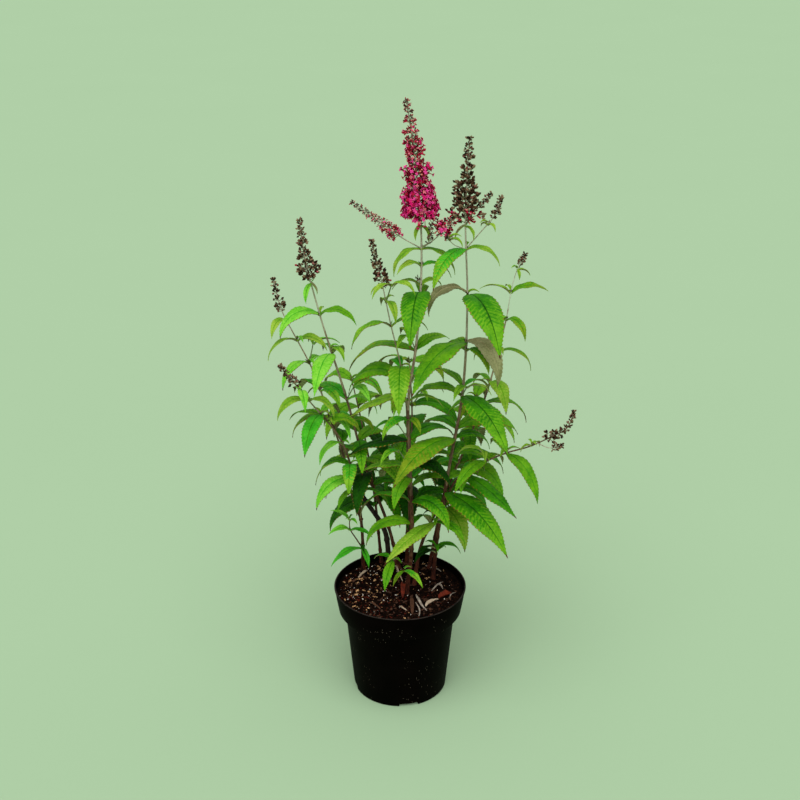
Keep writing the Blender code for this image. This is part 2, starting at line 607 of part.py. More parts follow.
def grow(pot_shape, soil_shape):
    """Limbs and masses as shapes: each mass is its stem first, then all that is fused to it"""
    limbs, planned = plan()
    space = Space()
    for shape in [pot_shape, soil_shape] + list(limbs.values()):
        space.add(shape, None)
    masses = {}
    twigs = {}
    for name, (twig, route, radius, start) in planned.items():
        random_source = random.Random(SEED + spread(name))
        masses[name] = [tube(route, start, stem_end(twig, route), radius, TWIG_SIDES)]
        twigs[name] = [(twig, route)]
        for side in SIDE_TWIGS.get(name, ()):
            side_route = Route(side.route)
            side_radius = taper(side_route, side.thick, side.thin)
            masses[name].append(tube(side_route, 0.0, stem_end(side, side_route), side_radius, SHOOT_SIDES))
            twigs[name].append((side, side_route))
        masses[name] += [spike_shape(random_source, each.spike, way) for each, way in twigs[name] if each.spike]
        for shape in masses[name]:
            space.add(shape, name)
    for name, found in twigs.items():
        random_source = random.Random(SEED * 3 + spread(name))
        for twig, route in found:
            masses[name] += [leaf_shape(leaf) for leaf in pair_leaves(random_source, twig, route, space, name)]
    for name, found in twigs.items():
        random_source = random.Random(SEED * 5 + spread(name))
        for twig, route in found:
            stems, leaves = axil_shoots(random_source, twig, route, space, name)
            masses[name] += stems + [leaf_shape(leaf) for leaf in leaves]
    return limbs, masses


def material_for(name):
    """The plain finish of a node, picked by the first word of its name"""
    kind = name.split("_")[0]
    made = bpy.data.materials.new(name)
    made.use_nodes = True
    shader = made.node_tree.nodes["Principled BSDF"]
    shader.inputs["Base Color"].default_value = (*COLOURS[kind], 1.0)
    shader.inputs["Roughness"].default_value = ROUGHNESS.get(kind, 0.65)
    shader.inputs["Metallic"].default_value = 0.0
    return made


def new_object(name, shape, smooth=True):
    """An object from a shape, with its faces turned outwards"""
    mesh = bpy.data.meshes.new(name)
    mesh.from_pydata(shape.points, [], shape.faces)
    work = bmesh.new()
    work.from_mesh(mesh)
    bmesh.ops.recalc_face_normals(work, faces=work.faces)
    work.to_mesh(mesh)
    work.free()
    made = bpy.data.objects.new(name, mesh)
    bpy.context.scene.collection.objects.link(made)
    if smooth:
        mesh.shade_smooth()
        mesh.set_sharp_from_angle(angle=math.radians(40))
    return made


def keep_largest(mesh):
    """Drops loose scraps and the skins of sealed hollows"""
    work = bmesh.new()
    work.from_mesh(mesh)
    left = set(work.verts)
    groups = []
    while left:
        stack = [left.pop()]
        group = set(stack)
        while stack:
            for edge in stack.pop().link_edges:
                for vert in edge.verts:
                    if vert in left:
                        left.discard(vert)
                        group.add(vert)
                        stack.append(vert)
        groups.append(group)
    groups.sort(key=len, reverse=True)
    bmesh.ops.delete(work, geom=[vert for group in groups[1:] for vert in group], context='VERTS')
    work.to_mesh(mesh)
    work.free()


def fuse(name, shapes):
    """One closed solid from overlapping shapes, by a Boolean union with a collection of them"""
    body = new_object(name, shapes[0])
    fused_in = bpy.data.collections.new(name + "_parts")
    bpy.context.scene.collection.children.link(fused_in)
    for index, shape in enumerate(shapes[1:]):
        piece = new_object(f"{name}_piece_{index}", shape)
        bpy.context.scene.collection.objects.unlink(piece)
        fused_in.objects.link(piece)
    union = body.modifiers.new("union", 'BOOLEAN')
    union.operation = 'UNION'
    union.operand_type = 'COLLECTION'
    union.solver = 'EXACT'
    union.collection = fused_in
    evaluated = body.evaluated_get(bpy.context.evaluated_depsgraph_get())
    mesh = bpy.data.meshes.new_from_object(evaluated)
    body.modifiers.remove(union)
    body.data = mesh
    for piece in list(fused_in.objects):
        bpy.data.objects.remove(piece)
    bpy.data.collections.remove(fused_in)
    keep_largest(mesh)
    return body


def turned(profile, sides):
    """A closed solid of revolution from (radius, height) points that start and end on the axis"""
    sections = []
    for radius, height in profile:
        if radius == 0.0:
            sections.append([Vector((0.0, 0.0, height))])
        else:
            turns = [math.tau * step / sides for step in range(sides)]
            sections.append([Vector((radius * math.cos(turn), radius * math.sin(turn), height)) for turn in turns])
    return skin(sections)


def body_radius(height):
    """The outside radius of the pot's tapering body below its collar"""
    return FOOT_RADIUS + (BODY_TOP_RADIUS - FOOT_RADIUS) * height / COLLAR_FOOT


def collar_radius(height):
    """The outside radius of the collar, between its foot and the rim"""
    share = (height - COLLAR_FOOT) / (POT_HEIGHT - COLLAR_FOOT)
    return COLLAR_FOOT_RADIUS + (RIM_RADIUS - COLLAR_FOOT_RADIUS) * share


def pot_profile():
    """Up the outside over the lip and down the inside"""
    bevel = 0.0012
    lip = POT_HEIGHT - LIP_HEIGHT
    return (
        (0.0, 0.0), (FOOT_RADIUS - bevel, 0.0), (FOOT_RADIUS, bevel),
        (BODY_TOP_RADIUS, COLLAR_FOOT - 0.0005),
        (COLLAR_FOOT_RADIUS - bevel, COLLAR_FOOT), (COLLAR_FOOT_RADIUS, COLLAR_FOOT + bevel),
        (collar_radius(lip) - 0.0004, lip), (RIM_RADIUS, lip + 0.0004),
        (RIM_RADIUS, POT_HEIGHT), (RIM_RADIUS - WALL, POT_HEIGHT),
        (collar_radius(COLLAR_FOOT) - WALL, COLLAR_FOOT + WALL),
        (BODY_TOP_RADIUS - WALL, COLLAR_FOOT - 0.0015),
        (body_radius(WALL) - WALL, WALL * 1.5), (0.0, WALL * 1.5),
    )


def soil_profile():
    """The fill, a gap clear of the pot's wall and floor"""
    floor = WALL * 1.5 + GAP
    inside = WALL + GAP
    ledge = COLLAR_FOOT + WALL
    return (
        (0.0, floor), (body_radius(floor) - inside, floor),
        (BODY_TOP_RADIUS - inside, COLLAR_FOOT - 0.0015 + GAP),
        (collar_radius(COLLAR_FOOT) - inside, ledge + GAP),
        (collar_radius(SOIL_TOP) - inside - 0.0003, SOIL_TOP), (0.0, SOIL_TOP),
    )


def pot_notches(pot):
    """Drain notches in the foot's edge, cut through the wall and open below"""
    for index in range(NOTCH_COUNT):
        turn = math.radians(NOTCH_BEARING + 360.0 * index / NOTCH_COUNT)
        cutter_mesh = bpy.data.meshes.new("notch")
        work = bmesh.new()
        bmesh.ops.create_cube(work, size=1.0)
        bmesh.ops.scale(work, vec=(0.0030, NOTCH_WIDTH, NOTCH_HEIGHT * 2.0), verts=work.verts)
        work.to_mesh(cutter_mesh)
        work.free()
        cutter = bpy.data.objects.new(f"notch_{index}", cutter_mesh)
        cutter.location = (math.cos(turn) * FOOT_RADIUS, math.sin(turn) * FOOT_RADIUS, 0.0)
        cutter.rotation_euler = (0.0, 0.0, turn)
        cutter.hide_render = True
        cutter.display_type = 'WIRE'
        bpy.context.scene.collection.objects.link(cutter)
        cut = pot.modifiers.new(f"notch_{index}", 'BOOLEAN')
        cut.operation = 'DIFFERENCE'
        cut.solver = 'EXACT'
        cut.object = cutter


def build():
    for old in list(bpy.data.objects):
        bpy.data.objects.remove(old)
    pot_shape = turned(pot_profile(), POT_SIDES)
    soil_shape = turned(soil_profile(), POT_SIDES)
    limbs, masses = grow(pot_shape, soil_shape)
    pot = new_object("pot", pot_shape)
    pot_notches(pot)
    made = [pot, new_object("soil", soil_shape, smooth=False)]
    made += [new_object(name, shape) for name, shape in limbs.items()]
    made += [fuse(name, shapes) for name, shapes in masses.items()]
    for thing in made:
        thing.data.materials.clear()
        thing.data.materials.append(material_for(thing.name))


build()
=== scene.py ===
"""The potted butterfly bush dressed for its picture: fine leaves, bark, bloom, seed heads and compost.

Units are metres and +Z is up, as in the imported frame. The plant grows by the same rule and the same tables
as its solids: every cane, bough, leaf pair and axil shoot is placed again here, tested against the same
simple shapes, and only then given its fine form. Each fine form stands for the node it grew in.
"""
import json
import math
import random
from collections import namedtuple
from functools import lru_cache

import bmesh
import bpy
import numpy as np
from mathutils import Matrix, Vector, noise
from mathutils.bvhtree import BVHTree

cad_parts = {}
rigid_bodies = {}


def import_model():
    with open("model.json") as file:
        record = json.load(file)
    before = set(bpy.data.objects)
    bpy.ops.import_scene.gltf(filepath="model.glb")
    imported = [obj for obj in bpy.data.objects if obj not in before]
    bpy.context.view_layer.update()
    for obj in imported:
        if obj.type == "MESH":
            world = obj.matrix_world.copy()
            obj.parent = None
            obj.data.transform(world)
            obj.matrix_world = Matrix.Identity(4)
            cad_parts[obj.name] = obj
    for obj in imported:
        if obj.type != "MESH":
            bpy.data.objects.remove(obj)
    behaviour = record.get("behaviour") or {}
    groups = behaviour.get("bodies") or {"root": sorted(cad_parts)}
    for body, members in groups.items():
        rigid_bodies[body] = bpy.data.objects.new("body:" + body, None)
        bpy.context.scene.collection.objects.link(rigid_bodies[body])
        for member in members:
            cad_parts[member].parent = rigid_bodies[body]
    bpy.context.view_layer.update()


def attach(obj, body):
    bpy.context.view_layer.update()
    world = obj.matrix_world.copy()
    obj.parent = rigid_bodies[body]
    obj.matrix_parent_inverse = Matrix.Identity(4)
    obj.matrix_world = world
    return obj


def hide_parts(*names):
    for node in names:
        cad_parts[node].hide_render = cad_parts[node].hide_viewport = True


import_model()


# Pot, turned about Z
POT_HEIGHT = 0.1302
FOOT_RADIUS = 0.0534
BODY_TOP_RADIUS = 0.0628
COLLAR_FOOT = 0.1000
COLLAR_FOOT_RADIUS = 0.0700
RIM_RADIUS = 0.0750
LIP_HEIGHT = 0.0022
WALL = 0.0016
POT_FLOOR = WALL * 1.5
LEDGE_DROP = 0.0015
POT_SIDES = 32
NOTCH_WIDTH = 0.022
NOTCH_HEIGHT = 0.006
NOTCH_FOOT = -0.01
NOTCH_DEPTHS = (-0.012, 0.004)
NOTCH_COUNT = 4
NOTCH_BEARING = 281.0

# Soil fill, which the stems stand on
SOIL_TOP = 0.1230
GAP = 0.0003
SOIL_EASE = 0.0003
STEM_FOOT = SOIL_TOP + GAP

# Limbs and twigs
STEM_SIDES = 8
TWIG_SIDES = 5
SHOOT_SIDES = 3
RING_STEP = 0.030
ROUTE_STEPS = 16
FLARE = 0.55
FLARE_REACH = 0.006
FLARE_RINGS = (0.003, 0.007, 0.014)
PAST_FLARE = 1.4
CLEAR_FROM = 0.001
CLEAR_STEP = 0.0002

# Leaves. Stations are shares of a leaf's length
LEAF_STATIONS = (0.0, 0.17, 0.42, 0.70, 1.0)
SMALL_STATIONS = (0.0, 0.32, 0.68, 1.0)
SMALL_LEAF = 0.036
LEAF_WIDTH = 0.235
LONG_LEAF_WIDER = 0.65
LEAF_THICKNESS = 0.013
LEAF_ROOT = 0.0011
LEAF_RISE = 40.0
LEAF_FALL = -92.0
LIFT_OF_RISE = 0.15
WIDTH_VARIETY = (0.92, 1.08)
BEARING_VARIETY = 2
LENGTH_VARIETY = (0.98, 1.02)
LEAF_VARIETY = (4, 4, 16, 8)
SET_LEAF_VARIETY = 0.3
ARCH_STEPS = 24
ARCH_POWER = 0.95
BREADTH_RISE = 0.85
BREADTH_FALL = 1.30
CLEAR_OF_LEAF = 0.0012
CLEAR_OF_STEM = 0.14
FIT_TRIES = ((0, 0, 1.0), (14, 0, 1.0), (-14, 0, 1.0), (0, 16, 1.0), (0, -14, 0.95), (26, 0, 0.95),
             (-26, 0, 0.95), (12, 22, 0.9), (-12, 22, 0.9), (38, -8, 0.85), (-38, -8, 0.85), (18, 34, 0.8),
             (-18, 34, 0.8), (50, 12, 0.75), (-50, 12, 0.75), (0, 0, 0.65), (28, 24, 0.6), (-28, 24, 0.6))

# Axil shoots: a short twig with a few young leaves, in the angle above a leaf
AXIL_CHANCE = 0.36
AXIL_TOP = 0.8
AXIL_LENGTH = (0.012, 0.028)
AXIL_LEAF = (0.022, 0.040)
AXIL_THICK = 0.0011
AXIL_ROOM = 2.2
AXIL_FOOT = 0.35
AXIL_LEAN = 10
AXIL_RISE = (54, 70)
AXIL_TURNS = (48, -62)
AXIL_LIFT = 20

# Flower and seed heads: how much they narrow to the tip, and how far their cymes turn up, both as shares
# of the half width
SPIKE_TAPER = 0.88
SPIKE_POWER = 0.9
SPIKE_LIFT = 0.42
SPIKE_SUNK = 0.006
FIRST_WHORL = 0.3
LOBE_VARIETY = (0.86, 1.10)

# Every mass draws its variety from this seed and from its own name
SEED = 27

# Rows of the tables, which are written in millimetres
MM = 1000.0
Spike = namedtuple("Spike", "start width whorls cymes waist")
Twig = namedtuple("Twig", "route thick thin pairs spike")
Cane = namedtuple("Cane", "limb mass cut twig")
Branch = namedtuple("Branch", "limb mass parent leave cut twig")
Leaf = namedtuple("Leaf", "root bearing length width rise fall roll sweep")
Whorl = namedtuple("Whorl", "step share distance half heading side across")
Shape = namedtuple("Shape", "points faces")


def spike(start, width, whorls, cymes, waist):
    """A flower or seed head, its lengths turned into metres"""
    return Spike(start / MM, width / MM, whorls, cymes, waist)


def sprig(thick, thin, route, pairs=(), head=None):
    """A twig, its lengths turned into metres; a foot with no height of its own stands on the soil"""
    places = [tuple(level / MM for level in place) for place in route]
    if len(places[0]) == 2:
        places[0] += (STEM_FOOT,)
    rows = tuple((height / MM, first, near / MM, second, far / MM, *bends)
                 for height, first, near, second, far, *bends in pairs)
    return Twig(tuple(places), thick / MM, thin / MM, rows, head)


# Canes that stand in the soil, in millimetres and degrees. Each has the height where its bare foot ends,
# its radius at foot and tip, and its route, foot first. Each leaf pair is its height, then the bearing and
# length of its two leaves, then their bends where they differ from the rest: a lift, for a leaf that
# droops less, or the leaf's own rise, fall and roll. A spike is its lowest height, its width, its whorls,
# the cymes in each and how deep it is waisted.
CANES = (
    Cane("stem_back", "crown_back", 186, sprig(2.7, 0.6,
        ((16, 8), (23, 20, 164), (48, 38, 220), (79, 50, 293), (98, 62, 344), (116, 73, 417),
         (129, 84, 479), (137, 90, 494)),
        ((203, 150, 60, 60, 66), (228, 100, 80, 350, 70), (262, 20, 76, 200, 50), (295, 80, 70, 262, 50),
         (327, 5, 70, 172, 55), (352, 290, 64, 120, 44), (387, 345, 52, 150, 42), (423, 305, 46, 160, 36),
         (453, 170, 38, 355, 46, 50, 50), (478, 285, 14, 20, 20, (-5, -110, 0), (10, -70, 0))),
        spike(482, 14, 3, 4, 0.5))),
    Cane("stem_middle", "crown_middle", 196, sprig(3.1, 0.7,
        ((7, -10), (12, -10, 167), (11, -8, 286), (9, -7, 361), (17, -5, 423), (22, -3, 509),
         (21, -2, 554), (15, -1, 617), (6, 0, 678)),
        ((212, 185, 70, 58, 50), (240, 325, 70, 168, 80), (268, 245, 62, 48, 68),
         (283, 172, 62, 345, 62, (18, -42, 0), 0), (314, 178, 74, 32, 72, (8, -46, 0), 25),
         (338, 215, 46, 306, 30), (360, 228, 34, 5, 46, 0, 25), (417, 171, 93, 35, 52, (30, -79, 0), 50),
         (479, 261, 98, 85, 50, (32, -84, 0), 0), (488, 175, 36, 34, 33, 25, 25),
         (509, 215, 36, 14, 41, 25, (25, -80, 0)), (527, 202, 49, 351, 50, (14, -100, 0), (14, -90, 0)),
         (551, 235, 20, 286, 26, (0, -110, 0), (-5, -112, 0))),
        spike(554, 43, 12, 7, 0.72))),
    Cane("stem_right", "crown_right", 200, sprig(3, 0.7,
        ((38, 22), (42, 19, 176), (54, 13, 269), (67, 7, 361), (70, 2, 470), (66, -4, 562),
         (68, -10, 643)),
        ((225, 120, 45, 188, 40), (240, 307, 118, 200, 50, (10, -49, 0), 0), (256, 45, 52, 200, 60),
         (286, 10, 60, 175, 62), (308, 225, 106, 10, 54, (21, -52, 0), 0), (320, 15, 88, 150, 70, 25, 0),
         (360, 299, 105, 165, 66, (13, -48, 0), 25), (371, 130, 56, 30, 45, 50, 0),
         (413, 310, 52, 115, 60), (422, 232, 107, 309, 82, (20, -58, 0), (41, -112, 180)),
         (476, 198, 66, 288, 111, (54, -105, 180), (22, -64, 0)),
         (526, 229, 69, 348, 46, (17, -84, 0), (28, -80, 0)),
         (551, 190, 20, 325, 20, (-5, -110, 180), (-5, -108, 0))),
        spike(553, 42, 9, 6, 0.36))),
    Cane("stem_left", "crown_left", 226, sprig(2.7, 0.7,
        ((-1, 46), (-13, 41, 181), (-37, 32, 258), (-59, 23, 353), (-85, 14, 452), (-99, 5, 523),
         (-102, 0, 558)),
        ((238, 158, 84, 10, 64), (254, 255, 74, 80, 60), (272, 120, 75, 324, 67), (296, 275, 60, 50, 66),
         (323, 335, 34, 150, 52), (349, 140, 72, 350, 46, 25, 0), (404, 255, 80, 70, 38, (21, -57, 0), 0),
         (410, 300, 30, 120, 26), (450, 205, 62, 345, 50, 0, 25),
         (486, 245, 26, 330, 15, (-5, -112, 0), (-5, -112, 180))),
        spike(489, 31, 8, 5, 0.36))),
    Cane("stem_far_left", "crown_low_left", 224, sprig(2.7, 0.6,
        ((-43, 46), (-44, 38, 182), (-53, 15, 267), (-65, -1, 313), (-95, -17, 363), (-124, -40, 414)),
        ((235, 228, 44, 345, 50), (252, 215, 70, 262, 50), (275, 165, 50, 282, 55), (306, 222, 46, 90, 60),
         (337, 160, 54, 0, 50, 25, 0), (346, 254, 66, 75, 50, (20, -77, 0), 0), (365, 205, 50, 330, 44),
         (378, 280, 40, 120, 24)),
        spike(386, 17, 5, 4, 0.42))),
    Cane("stem_rear_left", "crown_rear_left", 178, sprig(2.4, 0.8,
        ((-22, 60), (-30, 82, 200), (-42, 105, 270), (-58, 122, 340)),
        ((190, 200, 80, 60, 80), (212, 120, 94, 300, 86), (240, 30, 90, 200, 88), (270, 130, 84, 290, 74),
         (302, 60, 74, 225, 72), (332, 140, 62, 330, 56)))),
    Cane("stem_rear", "crown_rear", 178, sprig(2.6, 0.8,
        ((8, 60), (10, 85, 220), (14, 106, 300), (10, 114, 366)),
        ((190, 240, 84, 20, 80), (212, 100, 100, 270, 88), (240, 10, 90, 190, 92), (272, 80, 88, 260, 80),
         (306, 350, 76, 165, 80), (336, 75, 68, 245, 68), (358, 160, 58, 340, 58)))),
    Cane("stem_rear_right", "crown_rear_right", 176, sprig(2.4, 0.8,
        ((34, 48), (48, 70, 190), (70, 92, 258), (90, 108, 322)),
        ((188, 300, 80, 120, 80), (208, 50, 94, 235, 74), (236, 330, 90, 150, 84), (264, 65, 84, 250, 70),
         (292, 345, 74, 160, 70), (316, 70, 64, 240, 56)))),
)

# Boughs and shoots that leave the side of a limb. The route starts on the parent's middle line, so
# only the rest of it is written here.
BRANCHES = (
    Branch("bough_centre_left", "crown_centre_left", "stem_middle", 170, 345, sprig(1.9, 0.6,
        ((11, -1, 205), (10, 3, 240), (8, 2, 300), (7, -1, 350), (1, -10, 400), (-9, -18, 448),
         (-20, -26, 506), (-29, -30, 545)),
        ((366, 176, 73, 240, 34, (-6, -48, 0), 0), (384, 165, 84, 60, 32), (399, 268, 80, 110, 44, -22, 0),
         (449, 210, 62, 6, 48, 0, 25), (476, 290, 40, 110, 24), (492, 200, 18, 340, 16)),
        spike(496, 22, 7, 4, 0.4))),
    Branch("bough_far_left", "crown_far_left", "stem_far_left", 194, 300, sprig(1.9, 0.6,
        ((-53, 30, 222), (-60, 24, 270), (-76, 17, 328), (-97, 20, 392), (-110, 25, 417), (-127, 33, 450),
         (-135, 40, 483)),
        ((330, 190, 58, 312, 48), (362, 130, 56, 320, 40), (393, 230, 58, 60, 38),
         (417, 215, 48, 337, 42, 0, 25), (438, 240, 38, 70, 18)),
        spike(447, 20, 5, 4, 0.42))),
    Branch("bough_low_right", "crown_low_right", "stem_right", 178, 263, sprig(2.1, 0.6,
        ((47, 26, 202), (52, 24, 225), (60, 18, 249), (78, 4, 274), (96, -7, 290), (116, -17, 304),
         (137, -26, 315), (157, -34, 329), (175, -41, 344), (181, -45, 365)),
        ((266, 317, 83, 60, 50, (-8, -34, 0), 0), (273, 40, 30, 250, 46),
         (289, 228, 62, 50, 40, (17, -63, 0), 0), (303, 310, 74, 108, 52, (6, -88, 0), 25),
         (317, 50, 22, 200, 18)),
        spike(326, 19, 7, 4, 0.42))),
    Branch(None, "shoot_left", "stem_far_left", 142, None, sprig(1.5, 0.6,
        ((-43, 31, 158), (-50, 26, 174), (-57, 22, 190), (-57, 20, 204)),
        ((160, 212, 46, 292, 28, (22, -60, 0), (5, -80, 0)), (188, 218, 32, 335, 30, 50, (30, -45, 0)),
         (202, 165, 26, 305, 18, (55, -15, 0), 50)))),
    Branch(None, "shoot_front", "stem_middle", 150, None, sprig(1.3, 0.7,
        ((6, -19, 158), (-2, -25, 168), (-9, -28, 178)),
        ((160, 318, 34, 227, 24, (20, -65, 0), (0, -75, 0)), (176, 250, 40, 150, 30, (0, -80, 0), 25)))),
    Branch(None, "shoot_right", "stem_right", 157, None, sprig(1.3, 0.7,
        ((41, 8, 167), (40, 0, 179)),
        ((168, 214, 36, 50, 22, 25, 25), (177, 215, 34, 5, 36, 25, (40, -80, 0))))),
)

# Side shoots fused to a mass's own stem: flower heads and buds from its axils
SIDE_TWIGS = {
    "crown_middle": (
        sprig(0.9, 0.5, ((22, -3, 527), (1, -7, 540), (-22, -10, 558), (-49, -14, 579)), (),
             spike(541, 17, 7, 4, 0.45)),
        sprig(0.9, 0.5, ((22, -3, 527), (38, -8, 541), (47, -10, 552), (55, -12, 566)), (),
             spike(543, 22, 3, 5, 0.6)),
        sprig(0.7, 0.5, ((22, -3, 529), (29, -13, 537), (31, -16, 557)), (), spike(536, 11, 3, 4, 0.45)),
        sprig(0.6, 0.5, ((22, -3, 488), (17, -8, 498)), (), spike(493, 7, 1, 3, 0.5)),
    ),
    "crown_right": (
        sprig(1.1, 0.8, ((45.5, 17.2, 204), (43, 6, 210), (39, -6, 213)),
             ((212.5, 223, 83, 317, 51, (0, -34, 0), (35, -62, 0)),)),
        sprig(0.9, 0.5, ((67, -1, 526), (82, -4, 545), (95, -8, 563), (101, -10, 583)),
             ((553, 310, 16, 150, 12),), spike(560, 15, 4, 4, 0.45)),
        sprig(0.8, 0.5, ((67, -4, 558), (80, -7, 572), (92, -9, 587)), (), spike(570, 10, 3, 4, 0.45)),
        sprig(0.7, 0.5, ((66, -1, 526), (54, -12, 534), (46, -20, 545)),
             ((540, 250, 15, 330, 20),), spike(540, 9, 1, 4, 0.5)),
    ),
    "crown_centre_left": (
        sprig(0.6, 0.5, ((-18, -24, 492), (-12, -26, 500)), (), spike(494, 8, 1, 3, 0.5)),
    ),
    "crown_low_right": (
        sprig(0.7, 0.5, ((146, -30, 321), (158, -44, 322), (170, -52, 329)), (), spike(323, 14, 2, 4, 0.45)),
    ),
}

# The stub of last year's stem
OLD = sprig(4, 3.3, ((-13, 53), (-18, 54, 170), (-40, 56, 208), (-47, 58, 220)))

# Finer growth within the same reach
TUFT_LEAF = (0.010, 0.022)
TUFT_LEAST = 0.45
TUFT_FULL = 0.09
TUFT_TURN = 62
TUFT_RISE = 0.003
TUFT_LIFT = 45
TUFT_CHANCE = 0.62

# Fine leaves. Columns are shares of the half width, from one margin to the other
LEAF_COLUMNS = (-1.0, -0.92, -0.54, -0.055, 0.0, 0.055, 0.54, 0.92, 1.0)
SMALL_COLUMNS = (-1.0, -0.55, -0.08, 0.0, 0.08, 0.55, 1.0)
OUTER_FROM = 0.84
MINGLED = 0.52
FINE_LEAF = 0.042
VEIN_STEP = 0.0052
VEIN_ROWS = (0.0, 0.18, 0.60)
VEIN_SLANT = 0.75
TIP_ROWS = 3
TOOTH = 0.00060
TOOTHED_LEAF = 0.08
TOOTH_FADE = 0.1
PETIOLE = 0.0009
TIP_HALF = 0.00015
BLADE_THICK = 0.00034
PETIOLE_THICK = 0.0011
PETIOLE_FADE = 0.045
RIB_DEPTH = 0.0007
RIB_THICK = 0.0007
BULGE = 0.00030
BULGED_LEAF = 0.07
SMOOTH_BASE = 0.08
YOUNG_TO_GROWN = (0.02, 0.06)
FOLD = (0.50, 0.24)
DROOP = (0.20, 0.30)
WAVE = (0.05, 0.13)
WAVES = (1.6, 2.8)
OUT_OF_STEP = 0.8
LAST_VEIN = 0.995
LAST_SHARE = 0.998
SCATTER = (7919, 104729, 97)
OUTER_BEND = 0.45

# Fine wood. A mesh is its sides and the distance between its rings
LIMB_MESH = (16, 0.0018)
TWIG_MESH = (10, 0.0026)
SIDE_TWIG_MESH = (7, 0.0026)
SHOOT_MESH = (6, 0.003)
SLIMMER = 0.76
RIDGE = 0.12
FLECK = 0.06
KNOT_SWELL = 0.30
KNOT_LENGTH = 0.0020
OLD_KNOTS = [0.138, 0.158, 0.181]
PLUG = 0.0016
TIP_INSIDE = 0.002
ROOTED = 0.0012
RIDGE_RATE = 2.6
RIDGE_ALONG = 26.0
FLECK_RATE = 5.0
FLECK_ALONG = 150.0
PLUG_SLIMMER = 0.85
TONE_RATE = 160.0
TONE_DRIFT = 0.018
BARK_TONES = ((0.165, "bark_red"), (0.255, "bark_brown"), (0.350, "bark_grey"), (0.430, "bark_tan"))
FELTED = ("crown_back",)
BRACT_FROM = 0.30
BRACT_OFF = 0.0008
BRACT_TURNS = (35, 120, 215, 300)
BRACT_CHANCE = 0.55
BRACT_SIZE = (0.0026, 0.0052)
BRACT_TONES = ((0.45, "bract_dark"), (0.75, "stalk_dry"), (1.0, "leaf_mid"))

# Flower heads. Necks are the heights, as shares, where a head narrows, and how much. Stages are the shares
# of open flowers, crimson buds, dark buds and dry capsules up to each height
Style = namedtuple("Style", "parts waist full_below fullness tip necks stages")
STYLES = {
    "bloom": Style(11, 0.66, 0.24, 1.20, "bud_dark_tip", ((0.275, 0.42), (0.365, -0.18), (0.46, 0.46)), (
        (0.27, (0.86, 0.12, 0.0, 0.02)), (0.44, (0.50, 0.46, 0.04, 0.0)), (0.64, (0.18, 0.72, 0.10, 0.0)),
        (0.82, (0.06, 0.70, 0.24, 0.0)), (1.0, (0.0, 0.30, 0.70, 0.0)))),
    "side": Style(12, 0.74, 0.10, 1.26, "bud_dark", (), (
        (0.35, (0.25, 0.65, 0.10, 0.0)), (0.65, (0.06, 0.62, 0.32, 0.0)), (1.0, (0.0, 0.25, 0.75, 0.0)))),
    "cluster": Style(12, 0.80, 0.50, 1.26, "bud_dark", (), (
        (0.50, (0.30, 0.62, 0.08, 0.0)), (1.0, (0.10, 0.55, 0.35, 0.0)))),
    "green": Style(6, 0.62, 0.0, 1.1, "seed_dark", (), ((1.0, (0.0, 0.0, 0.75, 0.25)),)),
    "mixed": Style(8, 0.58, 0.0, 1.24, "seed_dark", ((0.36, 0.24), (0.52, 0.28), (0.68, 0.28)), (
        (0.14, (0.02, 0.42, 0.16, 0.40)), (1.0, (0.0, 0.0, 0.0, 1.0)))),
    "seed": Style(7, 0.50, 0.0, 1.26, "seed_dark", ((0.30, 0.26), (0.46, 0.30), (0.64, 0.30)), (
        (0.22, (0.0, 0.03, 0.05, 0.92)), (1.0, (0.0, 0.0, 0.0, 1.0)))),
}
HEAD_STYLES = {
    "crown_middle": ("bloom", "side", "cluster", "green", "green"),
    "crown_right": ("mixed", "seed", "seed", "green"),
    "crown_centre_left": ("seed", "green"),
}

# How clusters stand round a head's axis, and how few and small their parts get where it is slim
NECK_LENGTH = 0.034
LOW_WAIST = 0.92
FULL_SIZE_HALF = 0.010
SMALLEST = 0.62
FULL_COUNT_HALF = 0.015
COUNT_RANGE = (0.42, 1.25)
CYME_SWAY = 0.16
CYME_OUT = (0.80, 1.10)
CYME_SLIP = 0.0015
FOOT_OUT = 0.76
KNOB_OUT = 0.42
KNOB_UP = 0.16
WANDER = 0.62
INWARD = -0.1
TURNED_OUT = 1.2
PART_OUT = (0.80, 1.12)
LEAST_ROOM = 0.0022
TIP_SUNK = 0.004
TIP_PROFILE = ((0.0, 0.0006), (0.002, 0.0011), (0.0036, 0.0))

# Flowers, buds and capsules, and their stalks: a stalk's two numbers are its radius at foot and tip
FLORET = 0.0020
FLORET_LENGTH = (0.0045, 0.0115)
FLORET_VARIETY = (0.75, 1.15)
LOBE_THICK = 0.00030
LOBES = (0.42, 1.0, 0.97)
BUD_SIZE = (0.0034, 0.0068)
BUD_VARIETY = (0.8, 1.1)
DARK_BUD_SIZE = (0.0026, 0.0046)
CAPSULE_SIZE = (0.0034, 0.0048)
CAPSULE_LIFT = 0.25
CYME_STALK = (0.00045, 0.00035)
BUD_STALK = (0.0003, 0.0003)
CAPSULE_STALK = (0.00028, 0.00022)
SEED_STALK = 0.0130
SHORTEST_STALK = 0.0006
STALK_VARIETY = (0.55, 1.0)

# A closed bud with a blunt tip and a dry pointed capsule, as (distance, radius) shares of their size
BUD = ((0.0, 0.10), (0.60, 0.13), (0.86, 0.19), (1.0, 0.0))
CAPSULE = ((0.0, 0.12), (0.30, 0.34), (0.66, 0.26), (1.0, 0.0))

